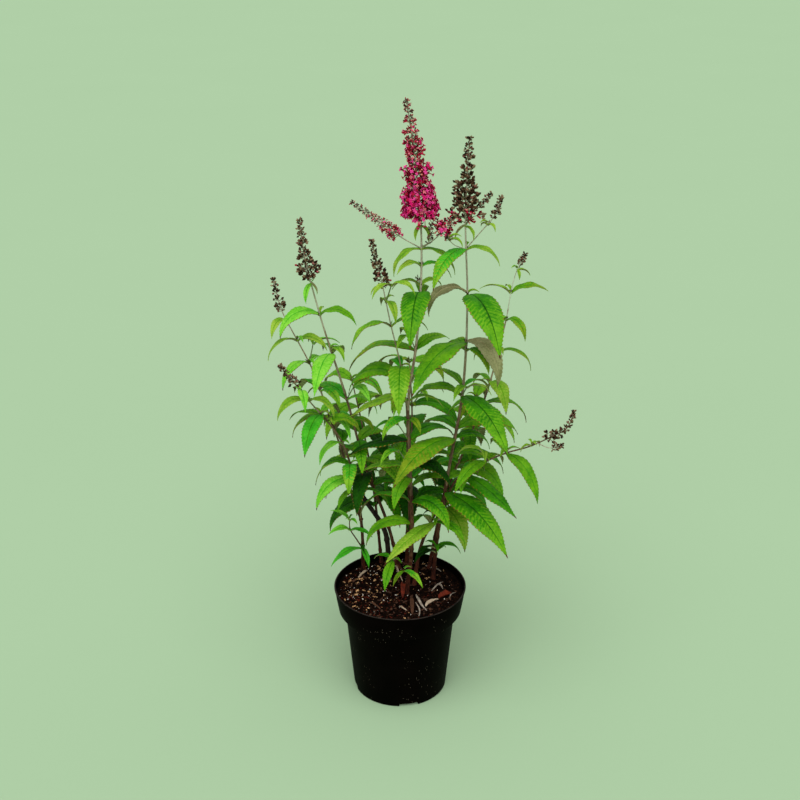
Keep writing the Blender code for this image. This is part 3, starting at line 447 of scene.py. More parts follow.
# Tones, each with the share up to which it is picked
BLOOM_TONES = ((0.32, "bloom_magenta"), (0.50, "bloom_crimson"), (0.84, "bloom_pink"), (1.0, "bloom_rose"))
BUD_TONES = ((0.4, "bloom_tube"), (0.8, "bloom_crimson"), (1.0, "bud_wine"))
BUD_TIPS = ((0.5, "bud_salmon"), (0.75, "bloom_crimson"), (1.0, "bloom_rose"))
SEED_TONES = ((0.36, "seed_dark"), (0.64, "seed_brown"), (0.90, "seed_tan"), (1.0, "seed_pink"))

# The pieces of a mass, and the slot of each
PIECES = {
    "twigs": "bark", "leaves": "foliage", "flowers": "foliage", "seeds": "foliage", "stalks": "foliage",
}

# Pot and compost. Edges sharper than a crease angle stay sharp
FINE_SIDES = 128
MID_COLLAR = 0.116
# How far below its top the rim is painted lighter, a painted highlight along its top edge
RIM_HIGHLIGHT_DEPTH = 0.0012
PLANT_CREASE = 48.0
POT_CREASE = 35.0
SOIL_CREASE = 80.0
GRAIN_CREASE = 30.0
LITTER_CREASE = 60.0
SOIL_SIDES = 180
SOIL_RINGS = 46
SOIL_DOME = 0.0012
SOIL_FALL = 0.0022
SOIL_LUMPS = ((55.0, 3.0, 0.0016), (150.0, 7.0, 0.0011), (420.0, 11.0, 0.0006))
STRIP_STEPS = 9
STRIP_THICK = 0.0003


def left_of(x, y):
    """A chance that is high on the left of the compost, most at the back, and low on the right"""
    return held(0.50 - x * 12.0 + y * 8.0, 0.06, 1.0)


def near_left(x, y):
    """A chance that is high in the front left of the compost"""
    return held(0.42 - x * 9.0 - y * 11.0, 0.04, 1.0)


def anywhere(x, y):
    return 1.0


# Crumbs and chips: how many, from what size to what size in millimetres, how flat and where
GRAINS = (
    ("soil_dark", 1500, (1.6, 4.2), 0.75, anywhere), ("soil_brown", 900, (1.2, 3.4), 0.7, anywhere),
    ("soil_red", 700, (1.2, 3.0), 0.7, near_left), ("chip_tan", 260, (1.6, 4.4), 0.5, left_of),
    ("chip_tan", 60, (5.0, 10.0), 0.22, left_of), ("chip_brown", 180, (4.0, 10.0), 0.2, anywhere),
    ("grain_white", 210, (0.9, 2.4), 0.8, left_of), ("grain_white", 44, (0.9, 2.2), 0.8, anywhere),
)
# Dry leaves and stalks on the compost, in millimetres: both ends, the width and the hump
LITTER = (
    ("grey", 18, -14, 29.6, -47.8, 3, 1.5), ("pale", 28.7, -37.9, 43.5, -22, 5.2, 1),
    ("grey", 17, -32.1, 20.9, -57.5, 1.8, 0.8), ("pale", -1.2, -37.9, 7.3, -46.8, 2.4, 1.4),
    ("red", 3, -21.5, 7.8, 1, 6, 11), ("brown", 12.8, -23, 13.6, -53.7, 4.6, 2.5),
    ("pale", -3.6, 48.9, 3, 13.4, 2.4, 10), ("red", 44, -19.9, 59, -10.7, 9, 1.2),
    ("grey", 55.2, -20.8, 63, -7.7, 1.4, 1.2), ("grey", 40.5, 4.6, 49.1, -1.4, 3, 3),
    ("grey", 36, -6, 50, 14, 2, 2), ("brown", -35, -30, -22, -44, 3, 0.8),
    ("pale", -48, 25, -38, 42, 3.4, 0.6), ("brown", 10, 54, -18, 60, 4, 0.8),
    ("grey", 30, 50, 48, 38, 3, 0.8),
)
CRUMB_FROM = 0.6
CRUMB_BREADTH = (0.55, 0.9)
CHIP_BREADTH = (0.25, 0.45)
LUMP_TIP = 0.6
LUMP_DENT = (0.74, 1.12)
LUMP_EDGE = 1.2
ICOSA_LONG = (1.0 + 5.0 ** 0.5) / 2.0
LUMP_POINTS = [Vector(corner).normalized() for one in (-1.0, 1.0) for long in (-ICOSA_LONG, ICOSA_LONG)
               for corner in ((0.0, one, long), (one, long, 0.0), (long, 0.0, one))]

# The camera, worked out from the pot's rim, foot and height in the photograph
CAMERA_PLACE = (0.0, -1.27, 0.8985)
CAMERA_PITCH = 23.05
CAMERA_LENS = 57.96
CAMERA_SENSOR = 36.0

# The floor's half width, the sky, and each lamp's strength, spread and tilt in degrees
FLOOR = 40.0
SKY_STRENGTH = 0.46
LAMPS = (("key", 1.70, 60.0, (28.0, -4.0, 0.0)), ("front", 0.40, 70.0, (62.0, -10.0, 0.0)))

# What has grown, and how a surface looks
Limb = namedtuple("Limb", "route radius start end foot twig")
Wood = namedtuple("Wood", "twig route radius start")
Mass = namedtuple("Mass", "twigs leaves shoots")
Specks = namedtuple("Specks", "tone scale size clouds rarity")
Look = namedtuple("Look", "light dark patches grain relief rough gloss stretch specks",
                  defaults=(1.0, None))
RELIEF_DEPTH = 0.0006
MOTTLE = 0.5
RAMP_STOPS = (0.38, 0.62)
UNEVEN = 0.07

# Finishes: the patches, grain, relief, roughness and gloss that some share, and for bark its stretch, then
# the light and dark tone of each as screen colours
FINISH_GROUPS = (
    ((30.0, 900.0, 0.10, 0.50, 0.006, 1.0, Specks((138, 124, 112), 300.0, 0.085, 20.0, 0.52)), {
        "pot_black": ((9, 5, 4), (3, 2, 1))}),
    # The rim's top edge, painted lighter than the black body as a painted highlight
    ((60.0, 900.0, 0.10, 0.55, 0.05), {"pot_rim": ((60, 52, 46), (22, 18, 16))}),
    ((160.0, 900.0, 0.9, 0.95, 0.04), {"soil_dark": ((26, 14, 8), (4, 2, 1))}),
    ((220.0, 1100.0, 0.8, 0.92, 0.05), {"soil_brown": ((66, 38, 22), (16, 8, 5))}),
    ((220.0, 1100.0, 0.8, 0.90, 0.05), {"soil_red": ((98, 34, 20), (36, 10, 6))}),
    ((260.0, 1200.0, 0.5, 0.80, 0.20), {"chip_tan": ((222, 178, 126), (150, 104, 62))}),
    ((260.0, 1200.0, 0.6, 0.85, 0.25), {"chip_brown": ((92, 60, 40), (48, 30, 20))}),
    ((300.0, 1500.0, 0.5, 0.75, 0.30), {"grain_white": ((255, 250, 236), (226, 214, 194))}),
    ((180.0, 1200.0, 0.5, 0.80, 0.15), {
        "litter_grey": ((196, 184, 168), (118, 104, 90)),
        "litter_pale": ((220, 202, 176), (150, 126, 100))}),
    ((180.0, 1200.0, 0.5, 0.75, 0.15), {"litter_red": ((134, 50, 26), (58, 18, 10))}),
    ((180.0, 1200.0, 0.5, 0.80, 0.25), {"litter_brown": ((104, 66, 42), (58, 36, 24))}),
    ((260.0, 1100.0, 0.9, 0.82, 0.15, 0.22), {
        "bark_red": ((96, 46, 28), (34, 15, 10)), "bark_brown": ((112, 76, 54), (52, 32, 22))}),
    ((260.0, 1100.0, 0.8, 0.80, 0.15, 0.22), {"bark_grey": ((142, 116, 92), (80, 60, 45))}),
    ((260.0, 1100.0, 0.7, 0.80, 0.15, 0.22), {"bark_tan": ((184, 166, 138), (122, 104, 82))}),
    ((260.0, 1300.0, 0.6, 0.85, 0.15, 0.22), {"bark_pale": ((208, 200, 178), (150, 140, 118))}),
    ((260.0, 1300.0, 0.5, 0.88, 0.15, 0.22), {"bark_white": ((218, 226, 202), (176, 182, 156))}),
    ((240.0, 1000.0, 1.0, 0.88, 0.25, 0.22), {"bark_dead": ((58, 46, 38), (24, 18, 15))}),
    ((300.0, 1300.0, 0.5, 0.85, 0.25), {
        "bract_dark": ((84, 64, 48), (42, 30, 22)), "stalk_dry": ((112, 94, 74), (66, 52, 40))}),
    ((300.0, 1300.0, 0.4, 0.80, 0.28), {"stalk_green": ((142, 158, 110), (104, 118, 78))}),
    ((300.0, 1300.0, 0.4, 0.85, 0.25), {"stalk_felted": ((150, 144, 118), (104, 96, 76))}),
    # Leaf greens: the darkest are painted shade inside the crown, the lightest partly painted light on outer
    # leaves
    ((70.0, 430.0, 0.8, 0.60, 0.08), {"leaf_shade": ((30, 90, 2), (8, 46, 0))}),
    ((70.0, 430.0, 0.8, 0.58, 0.09), {"leaf_dark": ((50, 120, 4), (20, 76, 0))}),
    ((70.0, 430.0, 0.8, 0.56, 0.10), {"leaf_deep": ((76, 158, 8), (38, 116, 2))}),
    ((70.0, 430.0, 0.8, 0.55, 0.11), {"leaf_mid": ((112, 177, 22), (70, 142, 8))}),
    ((70.0, 430.0, 0.8, 0.55, 0.12), {
        "leaf_bright": ((142, 194, 46), (100, 164, 24)), "leaf_lime": ((164, 198, 66), (122, 168, 36))}),
    ((70.0, 430.0, 0.8, 0.56, 0.12), {
        "leaf_gold": ((144, 172, 34), (98, 136, 14)), "leaf_mint": ((146, 222, 70), (94, 194, 28)),
        "leaf_fresh": ((84, 194, 40), (46, 158, 18))}),
    # Undersides: the felt's own pale olive, made paler still as painted light shining through the leaf
    ((80.0, 520.0, 0.6, 0.78, 0.10), {"leaf_under": ((142, 142, 92), (98, 102, 56))}),
    ((80.0, 520.0, 0.6, 0.80, 0.10), {"leaf_under_pale": ((164, 166, 116), (122, 126, 78))}),
    ((80.0, 520.0, 0.5, 0.78, 0.10), {"leaf_under_rib": ((176, 172, 126), (138, 134, 90))}),
    ((120.0, 600.0, 0.6, 0.75, 0.12), {"leaf_brown": ((112, 66, 30), (56, 28, 12))}),
    ((300.0, 600.0, 0.6, 0.70, 0.12), {"leaf_rust": ((156, 140, 44), (104, 82, 24))}),
    ((260.0, 1500.0, 0.3, 0.60, 0.10), {
        "bloom_magenta": ((236, 30, 126), (206, 16, 96)), "bloom_crimson": ((206, 24, 72), (146, 8, 42)),
        "bloom_pink": ((252, 88, 170), (236, 52, 142)), "bloom_rose": ((246, 138, 152), (226, 92, 118))}),
    ((260.0, 1500.0, 0.3, 0.65, 0.10), {
        "bloom_tube": ((170, 22, 54), (104, 6, 28)), "bud_wine": ((112, 16, 34), (64, 6, 16)),
        "bud_salmon": ((236, 158, 134), (206, 104, 96))}),
    ((300.0, 1500.0, 0.3, 0.65, 0.10), {"bloom_throat": ((150, 50, 30), (84, 14, 18))}),
    ((260.0, 1500.0, 0.4, 0.75, 0.25), {
        "bud_dark": ((92, 58, 48), (50, 30, 26)), "bud_dark_tip": ((122, 98, 78), (82, 58, 50))}),
    ((260.0, 1400.0, 0.5, 0.80, 0.10), {
        "seed_dark": ((58, 36, 22), (22, 12, 7)), "seed_brown": ((104, 74, 50), (56, 36, 22)),
        "seed_tan": ((162, 138, 108), (112, 88, 64)), "seed_pink": ((160, 104, 92), (108, 62, 54))}),
    ((2.0, 300.0, 0.0, 0.95, 0.0), {"floor_plain": ((177, 208, 168), (176, 207, 167))}),
)
FINISHES = {name: Look(*both, *grain) for grain, tones in FINISH_GROUPS for name, both in tones.items()}

# Tones of a leaf near its rib, towards its margin and tip, and on the rib itself, whose darker tone is
# painted shade in its groove
LEAF_TONES = {
    "shade": ("shade", "shade", "shade"), "dark": ("dark", "dark", "shade"),
    "deep": ("deep", "deep", "dark"), "edged": ("deep", "mid", "dark"),
    "mid": ("mid", "mid", "deep"), "gilded": ("mid", "gold", "deep"),
    "bright": ("mid", "bright", "deep"), "lime": ("bright", "lime", "mid"),
    "mint": ("mint", "mint", "fresh"), "fresh": ("fresh", "fresh", "deep"),
    "spring": ("fresh", "bright", "deep"),
}

# How light a leaf is: lighter high in the crown, far from the middle and in front, as painted light,
# and darker low and inside, as painted shade; young leaves are lighter in their own paler green
CROWN_MIDDLE = (0.01, 0.04)
CROWN_REACH = 0.10
CROWN_FOOT = 0.20
CROWN_HEIGHT = 0.30
HIGH_LIGHT = 0.62
OUTER_LIGHT = 0.42
LIGHT_VARIETY = 0.15
FRONT_LIGHT = 0.12
FRONT_FROM = -0.01
YOUNG_LIGHT = 0.10
GROWN_LEAF = 0.055
MINT_FROM = -0.05
MINT_CHANCE = 0.40
PALE_CHANCE = 0.35
BROWN_CHANCE = 0.85

# Tones from the darkest leaves to the lightest, dealt by where light and shade fall: painted shade to
# painted light
LIGHT_ORDER = ("shade", "dark", "deep", "edged", "mid", "spring", "gilded", "bright", "gilded", "lime")

# Tones of the leaves that stand out, by their order in the mass: their own greens, with painted shade on
# those that lie in shade and painted light on those that lie in light
LEAF_PICKS = {
    "crown_right": {2: "edged", 7: "mid", 8: "gilded", 10: "mid", 11: "deep", 12: "edged", 13: "mid",
                    18: "mid", 21: "edged", 22: "spring", 26: "lime"},
    "crown_middle": {0: "mid", 2: "edged", 3: "deep", 6: "bright", 7: "shade", 8: "shade", 9: "deep",
                     16: "edged"},
    "crown_rear": {0: "shade", 1: "mid", 2: "shade", 3: "shade", 7: "deep", 8: "bright"},
    "crown_rear_left": {0: "dark", 1: "shade", 2: "dark", 3: "deep", 4: "deep", 5: "lime", 6: "deep",
                        7: "shade"},
    "crown_rear_right": {0: "lime", 1: "deep", 3: "mid", 5: "deep", 7: "bright"},
    "crown_centre_left": {0: "lime", 2: "mid", 4: "bright", 6: "bright"},
    "crown_left": {0: "edged", 2: "shade", 4: "deep", 5: "bright", 12: "mint", 16: "mint"},
    "crown_low_left": {9: "fresh"},
    "crown_low_right": {0: "deep", 6: "mid"},
    "crown_back": {2: "shade", 3: "deep", 4: "deep", 8: "mid"},
    "shoot_left": {0: "fresh", 1: "fresh", 2: "mint", 3: "fresh"},
}


def lump_faces():
    """The twenty faces between the corners of a lump, turned outwards"""
    found = []
    for first in range(12):
        for second in range(first + 1, 12):
            for third in range(second + 1, 12):
                corners = [LUMP_POINTS[index] for index in (first, second, third)]
                gaps = [(corners[a] - corners[b]).length for a, b in ((0, 1), (1, 2), (0, 2))]
                if max(gaps) < LUMP_EDGE:
                    normal = (corners[1] - corners[0]).cross(corners[2] - corners[0])
                    outward = normal.dot(corners[0] + corners[1] + corners[2]) > 0.0
                    found.append((first, second, third) if outward else (first, third, second))
    return found


LUMP_FACES = lump_faces()


def eased(share, near, far, near_slope, far_slope):
    """The smooth curve between two values of given slopes, at a share of the way"""
    square = share * share
    cube = square * share
    return ((2 * cube - 3 * square + 1) * near + (cube - 2 * square + share) * near_slope
            + (3 * square - 2 * cube) * far + (cube - square) * far_slope)


def square_to(heading):
    """Two directions square to a heading and to each other"""
    side = heading.orthogonal().normalized()
    return side, heading.cross(side)


def spoke(turn, side, across):
    """The direction at a turn in the plane of two others"""
    return side * math.cos(turn) + across * math.sin(turn)


def turns(count, twist=0.0):
    """Even turns round a full circle"""
    return [twist + math.tau * step / count for step in range(count)]


def flat_turn(bearing):
    """The level direction at a bearing"""
    return Vector((math.cos(bearing), math.sin(bearing), 0.0))


class Route:
    """A smooth curve through a few points, measured by distance from its foot"""

    def __init__(self, points):
        knots = np.array(points)
        spans = np.linalg.norm(np.diff(knots, axis=0), axis=1)
        marks = np.concatenate(([0.0], np.cumsum(spans)))
        slopes = np.gradient(knots, marks, axis=0)
        dense = []
        for index, span in enumerate(spans):
            share = np.linspace(0.0, 1.0, ROUTE_STEPS, endpoint=False)[:, None]
            near, far = index, index + 1
            dense.append(eased(share, knots[near], knots[far], span * slopes[near], span * slopes[far]))
        self.points = np.vstack(dense + [knots[-1:]])
        steps = np.linalg.norm(np.diff(self.points, axis=0), axis=1)
        self.run = np.concatenate(([0.0], np.cumsum(steps)))
        self.length = float(self.run[-1])

    def place(self, distance):
        return Vector([float(np.interp(distance, self.run, self.points[:, axis])) for axis in range(3)])

    def heading(self, distance):
        reach = 0.002
        low = max(0.0, min(distance, self.length - reach) - reach)
        high = min(self.length, max(distance, reach) + reach)
        return (self.place(high) - self.place(low)).normalized()

    def at_height(self, height):
        return float(np.interp(height, self.points[:, 2], self.run))

    def clearance(self, point):
        """The distance from a point to the nearest place on the route"""
        starts = self.points[:-1]
        spans = np.diff(self.points, axis=0)
        offsets = np.array(point) - starts
        shares = np.clip(np.sum(offsets * spans, axis=1) / np.sum(spans * spans, axis=1), 0.0, 1.0)
        return float(np.min(np.linalg.norm(offsets - spans * shares[:, None], axis=1)))


def taper(route, thick, thin, flared=False):
    """A limb's radius as a function of distance: an even taper, with a flare at a root foot"""
    def radius(distance):
        even = thick + (thin - thick) * distance / route.length
        return even * (1.0 + FLARE * math.exp(-distance / FLARE_REACH)) if flared else even
    return radius


def rings(route, distances, radius, sides):
    """Rings of points square to a route, turned as little as possible from one to the next"""
    side = route.heading(distances[0]).orthogonal().normalized()
    found = []
    for distance in distances:
        heading = route.heading(distance)
        side = (side - heading * side.dot(heading)).normalized()
        across = heading.cross(side)
        centre = route.place(distance)
        reach = radius(distance)
        found.append([centre + spoke(turn, side, across) * reach for turn in turns(sides)])
    return found


def skin(sections):
    """A closed shape through sections of equal size; a section of one point closes an end"""
    points = [tuple(point) for section in sections for point in section]
    starts = np.cumsum([0] + [len(section) for section in sections]).tolist()
    faces = []
    for index in range(len(sections) - 1):
        near = list(range(starts[index], starts[index + 1]))
        far = list(range(starts[index + 1], starts[index + 2]))
        count = max(len(near), len(far))
        for step in range(count):
            after = (step + 1) % count
            corners = [near[step % len(near)], near[after % len(near)],
                       far[after % len(far)], far[step % len(far)]]
            faces.append(tuple(dict.fromkeys(corners)))
    for section, flip in ((0, True), (len(sections) - 1, False)):
        if len(sections[section]) > 1:
            cap = tuple(range(starts[section], starts[section + 1]))
            faces.append(cap[::-1] if flip else cap)
    return Shape(points, faces)


def tube(route, start, end, radius, sides, foot_height=None):
    """A tapering limb along part of a route, cut level at foot_height where that is given"""
    count = max(1, round((end - start) / RING_STEP))
    distances = [start + (end - start) * step / count for step in range(count + 1)]
    if foot_height is not None:
        past = start + FLARE_RINGS[-1] * PAST_FLARE
        distances = sorted([start] + [start + rise for rise in FLARE_RINGS]
                           + [distance for distance in distances if distance > past])
    sections = rings(route, distances, radius, sides)
    if foot_height is not None:
        heading = route.heading(start)
        sections[0] = [point + heading * ((foot_height - point.z) / heading.z) for point in sections[0]]
    return skin(sections)


def breadth(share):
    """A leaf's half width as a share of its widest"""
    peak = BREADTH_RISE / (BREADTH_RISE + BREADTH_FALL)
    return (share / peak) ** BREADTH_RISE * ((1.0 - share) / (1.0 - peak)) ** BREADTH_FALL


def arch(leaf, stations):
    """Middle point, side direction and upper normal at each station of an arching, drooping leaf"""
    wanted = list(stations)
    found = []
    point = leaf.root.copy()
    for step in range(ARCH_STEPS + 1):
        share = step / ARCH_STEPS
        rise = math.radians(leaf.rise + (leaf.fall - leaf.rise) * share ** ARCH_POWER)
        bearing = math.radians(leaf.bearing + leaf.sweep * share)
        outward = flat_turn(bearing)
        flat = Vector((-outward.y, outward.x, 0.0))
        heading = outward * math.cos(rise) + Vector((0.0, 0.0, math.sin(rise)))
        upper = heading.cross(flat)
        roll = math.radians(leaf.roll)
        while wanted and wanted[0] < share + 0.5 / ARCH_STEPS:
            found.append((point + heading * leaf.length * (wanted.pop(0) - share),
                          flat * math.cos(roll) + upper * math.sin(roll),
                          upper * math.cos(roll) - flat * math.sin(roll)))
        point = point + heading * leaf.length / ARCH_STEPS
    return found


def leaf_shape(leaf, margin=0.0, first=0.0):
    """A leaf flat above and keeled below; margin swells it, and first leaves its foot out"""
    stations = LEAF_STATIONS if leaf.length > SMALL_LEAF else SMALL_STATIONS
    stations = [share for share in stations if share > first]
    stations.insert(0, first)
    sections = []
    for share, (middle, side, upper) in zip(stations, arch(leaf, stations)):
        half = max(leaf.width * leaf.length / 2.0 * breadth(share), LEAF_ROOT * (1.0 - share)) + margin
        depth = max(leaf.length * LEAF_THICKNESS, LEAF_ROOT) + margin
        if share == 1.0 and not margin:
            sections.append([middle])
        else:
            lift = upper * margin
            upper_edges = [middle + side * half + lift, middle - side * half + lift]
            sections.append(upper_edges + [middle - upper * depth])
    return skin(sections)


def box(shape):
    """The lowest and highest corner round a shape"""
    points = np.array(shape.points)
    return points.min(axis=0), points.max(axis=0)


class Space:
    """Shapes already placed, to keep new ones clear of"""

    def __init__(self):
        self.placed = []

    def add(self, shape, owner):
        tree = BVHTree.FromPolygons(shape.points, shape.faces)
        self.placed.append((*box(shape), tree, owner))

    def meets(self, shape, apart_from=None):
        """Whether a shape touches any placed one, leaving out those of one owner"""
        low, high = box(shape)
        tree = None
        for other_low, other_high, other_tree, owner in self.placed:
            if apart_from is not None and owner == apart_from:
                continue
            if np.all(low <= other_high) and np.all(other_low <= high):
                tree = tree or BVHTree.FromPolygons(shape.points, shape.faces)
                if tree.overlap(other_tree):
                    return True
        return False


def add_leaf(leaf, space, owner, leaves):
    """Adds a leaf as it is, or turned, tilted or shortened until it is clear, or leaves it out.
    Its foot may touch only its own mass."""
    for turn, tilt, scale in FIT_TRIES:
        trial = leaf._replace(bearing=leaf.bearing + turn, fall=leaf.fall + tilt, length=leaf.length * scale)
        blade = leaf_shape(trial, CLEAR_OF_LEAF, CLEAR_OF_STEM)
        whole = leaf_shape(trial, CLEAR_OF_LEAF)
        if not space.meets(blade) and not space.meets(whole, owner):
            space.add(whole, owner)
            leaves.append(trial)
            return


def make_leaf(dice, root, bearing, length, bend=0.0):
    """A leaf with a little seeded variety, and less of it where the bend is a rise, fall and roll"""
    width = (LEAF_WIDTH + LONG_LEAF_WIDER * length) * dice.uniform(*WIDTH_VARIETY)
    bearing += dice.uniform(-BEARING_VARIETY, BEARING_VARIETY)
    length *= dice.uniform(*LENGTH_VARIETY)
    rise, fall, roll, sweep = (dice.uniform(-most, most) for most in LEAF_VARIETY)
    if isinstance(bend, tuple):
        set_rise, set_fall, set_roll = bend
        share = SET_LEAF_VARIETY
        return Leaf(root, bearing, length, width, set_rise + rise * share, set_fall + fall * share,
                    set_roll + roll * share, sweep * share)
    return Leaf(root, bearing, length, width, LEAF_RISE + bend * LIFT_OF_RISE + rise,
                LEAF_FALL + bend + fall, roll, sweep)


def pair_sides(wood):
    """Root, bearing, length and bend of every leaf in a twig's pairs"""
    for height, *both in wood.twig.pairs:
        root = wood.route.place(wood.route.at_height(height))
        bends = both[4:] or (0, 0)
        yield root, both[0], both[1], bends[0]
        yield root, both[2], both[3], bends[1]


def pair_leaves(dice, wood, space, owner, mass):
    """The leaves of a twig's pairs"""
    for side in pair_sides(wood):
        add_leaf(make_leaf(dice, *side), space, owner, mass.leaves)


def whorls(head, route):
    """The steps up a head, whorls and what lies between by turns, with its half width at each"""
    start = route.at_height(head.start)
    count = head.whorls * 2
    for step in range(count):
        share = (step + FIRST_WHORL) / count
        distance = start + (route.length - start) * share
        heading = route.heading(distance)
        half = head.width / 2.0 * (1.0 - SPIKE_TAPER * share ** SPIKE_POWER)
        yield Whorl(step, share, distance, half, heading, *square_to(heading))


def spike_shape(dice, head, route):
    """A flower or seed head: whorls of up-turned cymes, waisted between, fine at its tip"""
    sections = [[route.place(route.at_height(head.start) - 0.001)]]
    for whorl in whorls(head, route):
        ring = []
        for corner, turn in enumerate(turns(head.cymes * 2)):
            lobe = whorl.step % 2 == 1 and (corner + whorl.step // 2) % 2 == 0
            out = whorl.half * (dice.uniform(*LOBE_VARIETY) if lobe else head.waist)
            lift = whorl.heading * whorl.half * (SPIKE_LIFT if lobe else 0.0)
            ring.append(route.place(whorl.distance) + spoke(turn, whorl.side, whorl.across) * out + lift)
        sections.append(ring)
    return skin(sections + [[route.place(route.length)]])


def spread(value):
    """A word's letters as one number, to seed each mass by its name"""
    return sum((index + 1) * ord(letter) for index, letter in enumerate(value))


def start_clear_of(parent, parent_radius, route, radius):
    """The first distance where a branch's end is a gap clear of its parent's side"""
    distance = CLEAR_FROM
    while distance < route.length:
        ring = rings(route, (distance, distance + 0.001), radius, STEM_SIDES)[0]
        if all(parent.clearance(point) >= parent_radius + GAP for point in ring):
            return distance
        distance += CLEAR_STEP
    return route.length


def axil_shoots(dice, wood, space, owner, mass):
    """Short shoots in some of the axils, but for those of the uppermost leaves"""
    sides = list(pair_sides(wood))
    for index, (root, bearing, length, _) in enumerate(sides):
        chance = dice.random()
        if chance < AXIL_CHANCE and length > SMALL_LEAF and index < len(sides) * AXIL_TOP:
            axil_shoot(dice, root, bearing, space, owner, mass)


def axil_shoot(dice, root, bearing, space, owner, mass):
    """A short twig rising from an axil, with two young leaves at its end"""
    length = dice.uniform(*AXIL_LENGTH)
    lean = math.radians(bearing + dice.uniform(-AXIL_LEAN, AXIL_LEAN))
    rise = math.radians(dice.uniform(*AXIL_RISE))
    away = Vector((math.cos(lean) * math.cos(rise), math.sin(lean) * math.cos(rise), math.sin(rise)))
    route = Route([tuple(root), tuple(root + away * length)])
    sizes = [dice.uniform(*AXIL_LEAF) for side in range(2)]
    roomy = taper(route, AXIL_THICK * AXIL_ROOM, AXIL_THICK * AXIL_ROOM)
    upper_part = tube(route, length * AXIL_FOOT, length, roomy, SHOOT_SIDES)
    if space.meets(upper_part) or space.meets(tube(route, 0.0, length, roomy, SHOOT_SIDES), owner):
        return
    space.add(upper_part, owner)
    before = len(mass.leaves)
    for turn, size in zip(AXIL_TURNS, sizes):
        leaf = make_leaf(dice, root + away * length * 0.9, bearing + turn, size, AXIL_LIFT)
        add_leaf(leaf, space, owner, mass.leaves)
    if len(mass.leaves) > before:
        mass.shoots.append(route)


def tufts(dice, wood, space, owner, mass):
    """The finer growth that the solids leave out: small young leaves close above the leaf pairs"""
    for root, bearing, length, _ in pair_sides(wood):
        for turn in (TUFT_TURN, -TUFT_TURN):
            size = dice.uniform(*TUFT_LEAF) * min(1.0, TUFT_LEAST + length / TUFT_FULL)
            chance = dice.random()
            leaf = make_leaf(dice, root + Vector((0.0, 0.0, TUFT_RISE)), bearing + turn, size, TUFT_LIFT)
            if chance < TUFT_CHANCE:
                add_leaf(leaf, space, owner, mass.leaves)


def plan():
    """Every limb, and every mass with the twig it grows on and where that starts"""
    limbs = {}
    masses = {}
    routes = {}
    for cane in CANES:
        route = Route(cane.twig.route)
        radius = taper(route, cane.twig.thick, cane.twig.thin, flared=True)
        cut = route.at_height(cane.cut / MM)
        routes[cane.limb] = (route, radius)
        limbs[cane.limb] = Limb(route, radius, 0.0, cut, STEM_FOOT, cane.twig)
        masses[cane.mass] = (cane.twig, route, radius, cut + GAP)
    for branch in BRANCHES:
        parent, parent_radius = routes[branch.parent]
        leave = parent.at_height(branch.leave / MM)
        route = Route((tuple(parent.place(leave)),) + branch.twig.route)
        radius = taper(route, branch.twig.thick, branch.twig.thin)
        start = start_clear_of(parent, parent_radius(leave), route, radius)
        if branch.limb:
            cut = route.at_height(branch.cut / MM)
            limbs[branch.limb] = Limb(route, radius, start, cut, None, branch.twig)
            start = cut + GAP
        masses[branch.mass] = (branch.twig, route, radius, start)
    old = Route(OLD.route)
    radius = taper(old, OLD.thick, OLD.thin, flared=True)
    limbs["stem_old"] = Limb(old, radius, 0.0, old.length, STEM_FOOT, OLD)
    return limbs, masses


def stem_end(twig, route):
    """Where a twig's own wood stops: at its tip, or a little way inside its spike"""
    if not twig.spike:
        return route.length
    return min(route.length - 0.001, route.at_height(twig.spike.start) + SPIKE_SUNK)


def grow():
    """Every limb, and what grew in every mass: its twigs, leaves, axil shoots and heads"""
    limbs, planned = plan()
    space = Space()
    for profile in (pot_profile(), soil_profile()):
        space.add(turned(profile, POT_SIDES), None)
    for limb in limbs.values():
        space.add(tube(limb.route, limb.start, limb.end, limb.radius, STEM_SIDES, limb.foot), None)
    masses = {}
    for name, (twig, route, radius, start) in planned.items():
        dice = random.Random(SEED + spread(name))
        twigs = [Wood(twig, route, radius, start)]
        for side in SIDE_TWIGS.get(name, ()):
            side_route = Route(side.route)
            twigs.append(Wood(side, side_route, taper(side_route, side.thick, side.thin), 0.0))
        for wood, sides in zip(twigs, [TWIG_SIDES] + [SHOOT_SIDES] * len(twigs)):
            end = stem_end(wood.twig, wood.route)
            space.add(tube(wood.route, wood.start, end, wood.radius, sides), name)
        for wood in twigs:
            if wood.twig.spike:
                space.add(spike_shape(dice, wood.twig.spike, wood.route), name)
        masses[name] = Mass(twigs, [], [])
    for factor, growth in ((3, pair_leaves), (5, axil_shoots), (7, tufts)):
        for name, mass in masses.items():
            dice = random.Random(SEED * factor + spread(name))
            for wood in mass.twigs:
                growth(dice, wood, space, name, mass)
    return limbs, masses


def revolved(profile, sides):
    """Rings of (radius, height) points turned about the middle; a radius of 0 is a point"""
    return [[Vector((radius * math.cos(turn), radius * math.sin(turn), height))
             for turn in turns(sides if radius else 1)] for radius, height in profile]


def turned(profile, sides):
    """A closed solid of revolution from (radius, height) points that start and end on the axis"""
    return skin(revolved(profile, sides))


def body_radius(height):
    """The outside radius of the pot's tapering body below its collar"""
    return FOOT_RADIUS + (BODY_TOP_RADIUS - FOOT_RADIUS) * height / COLLAR_FOOT


def collar_radius(height):
    """The outside radius of the collar, between its foot and the rim"""
    share = (height - COLLAR_FOOT) / (POT_HEIGHT - COLLAR_FOOT)
    return COLLAR_FOOT_RADIUS + (RIM_RADIUS - COLLAR_FOOT_RADIUS) * share


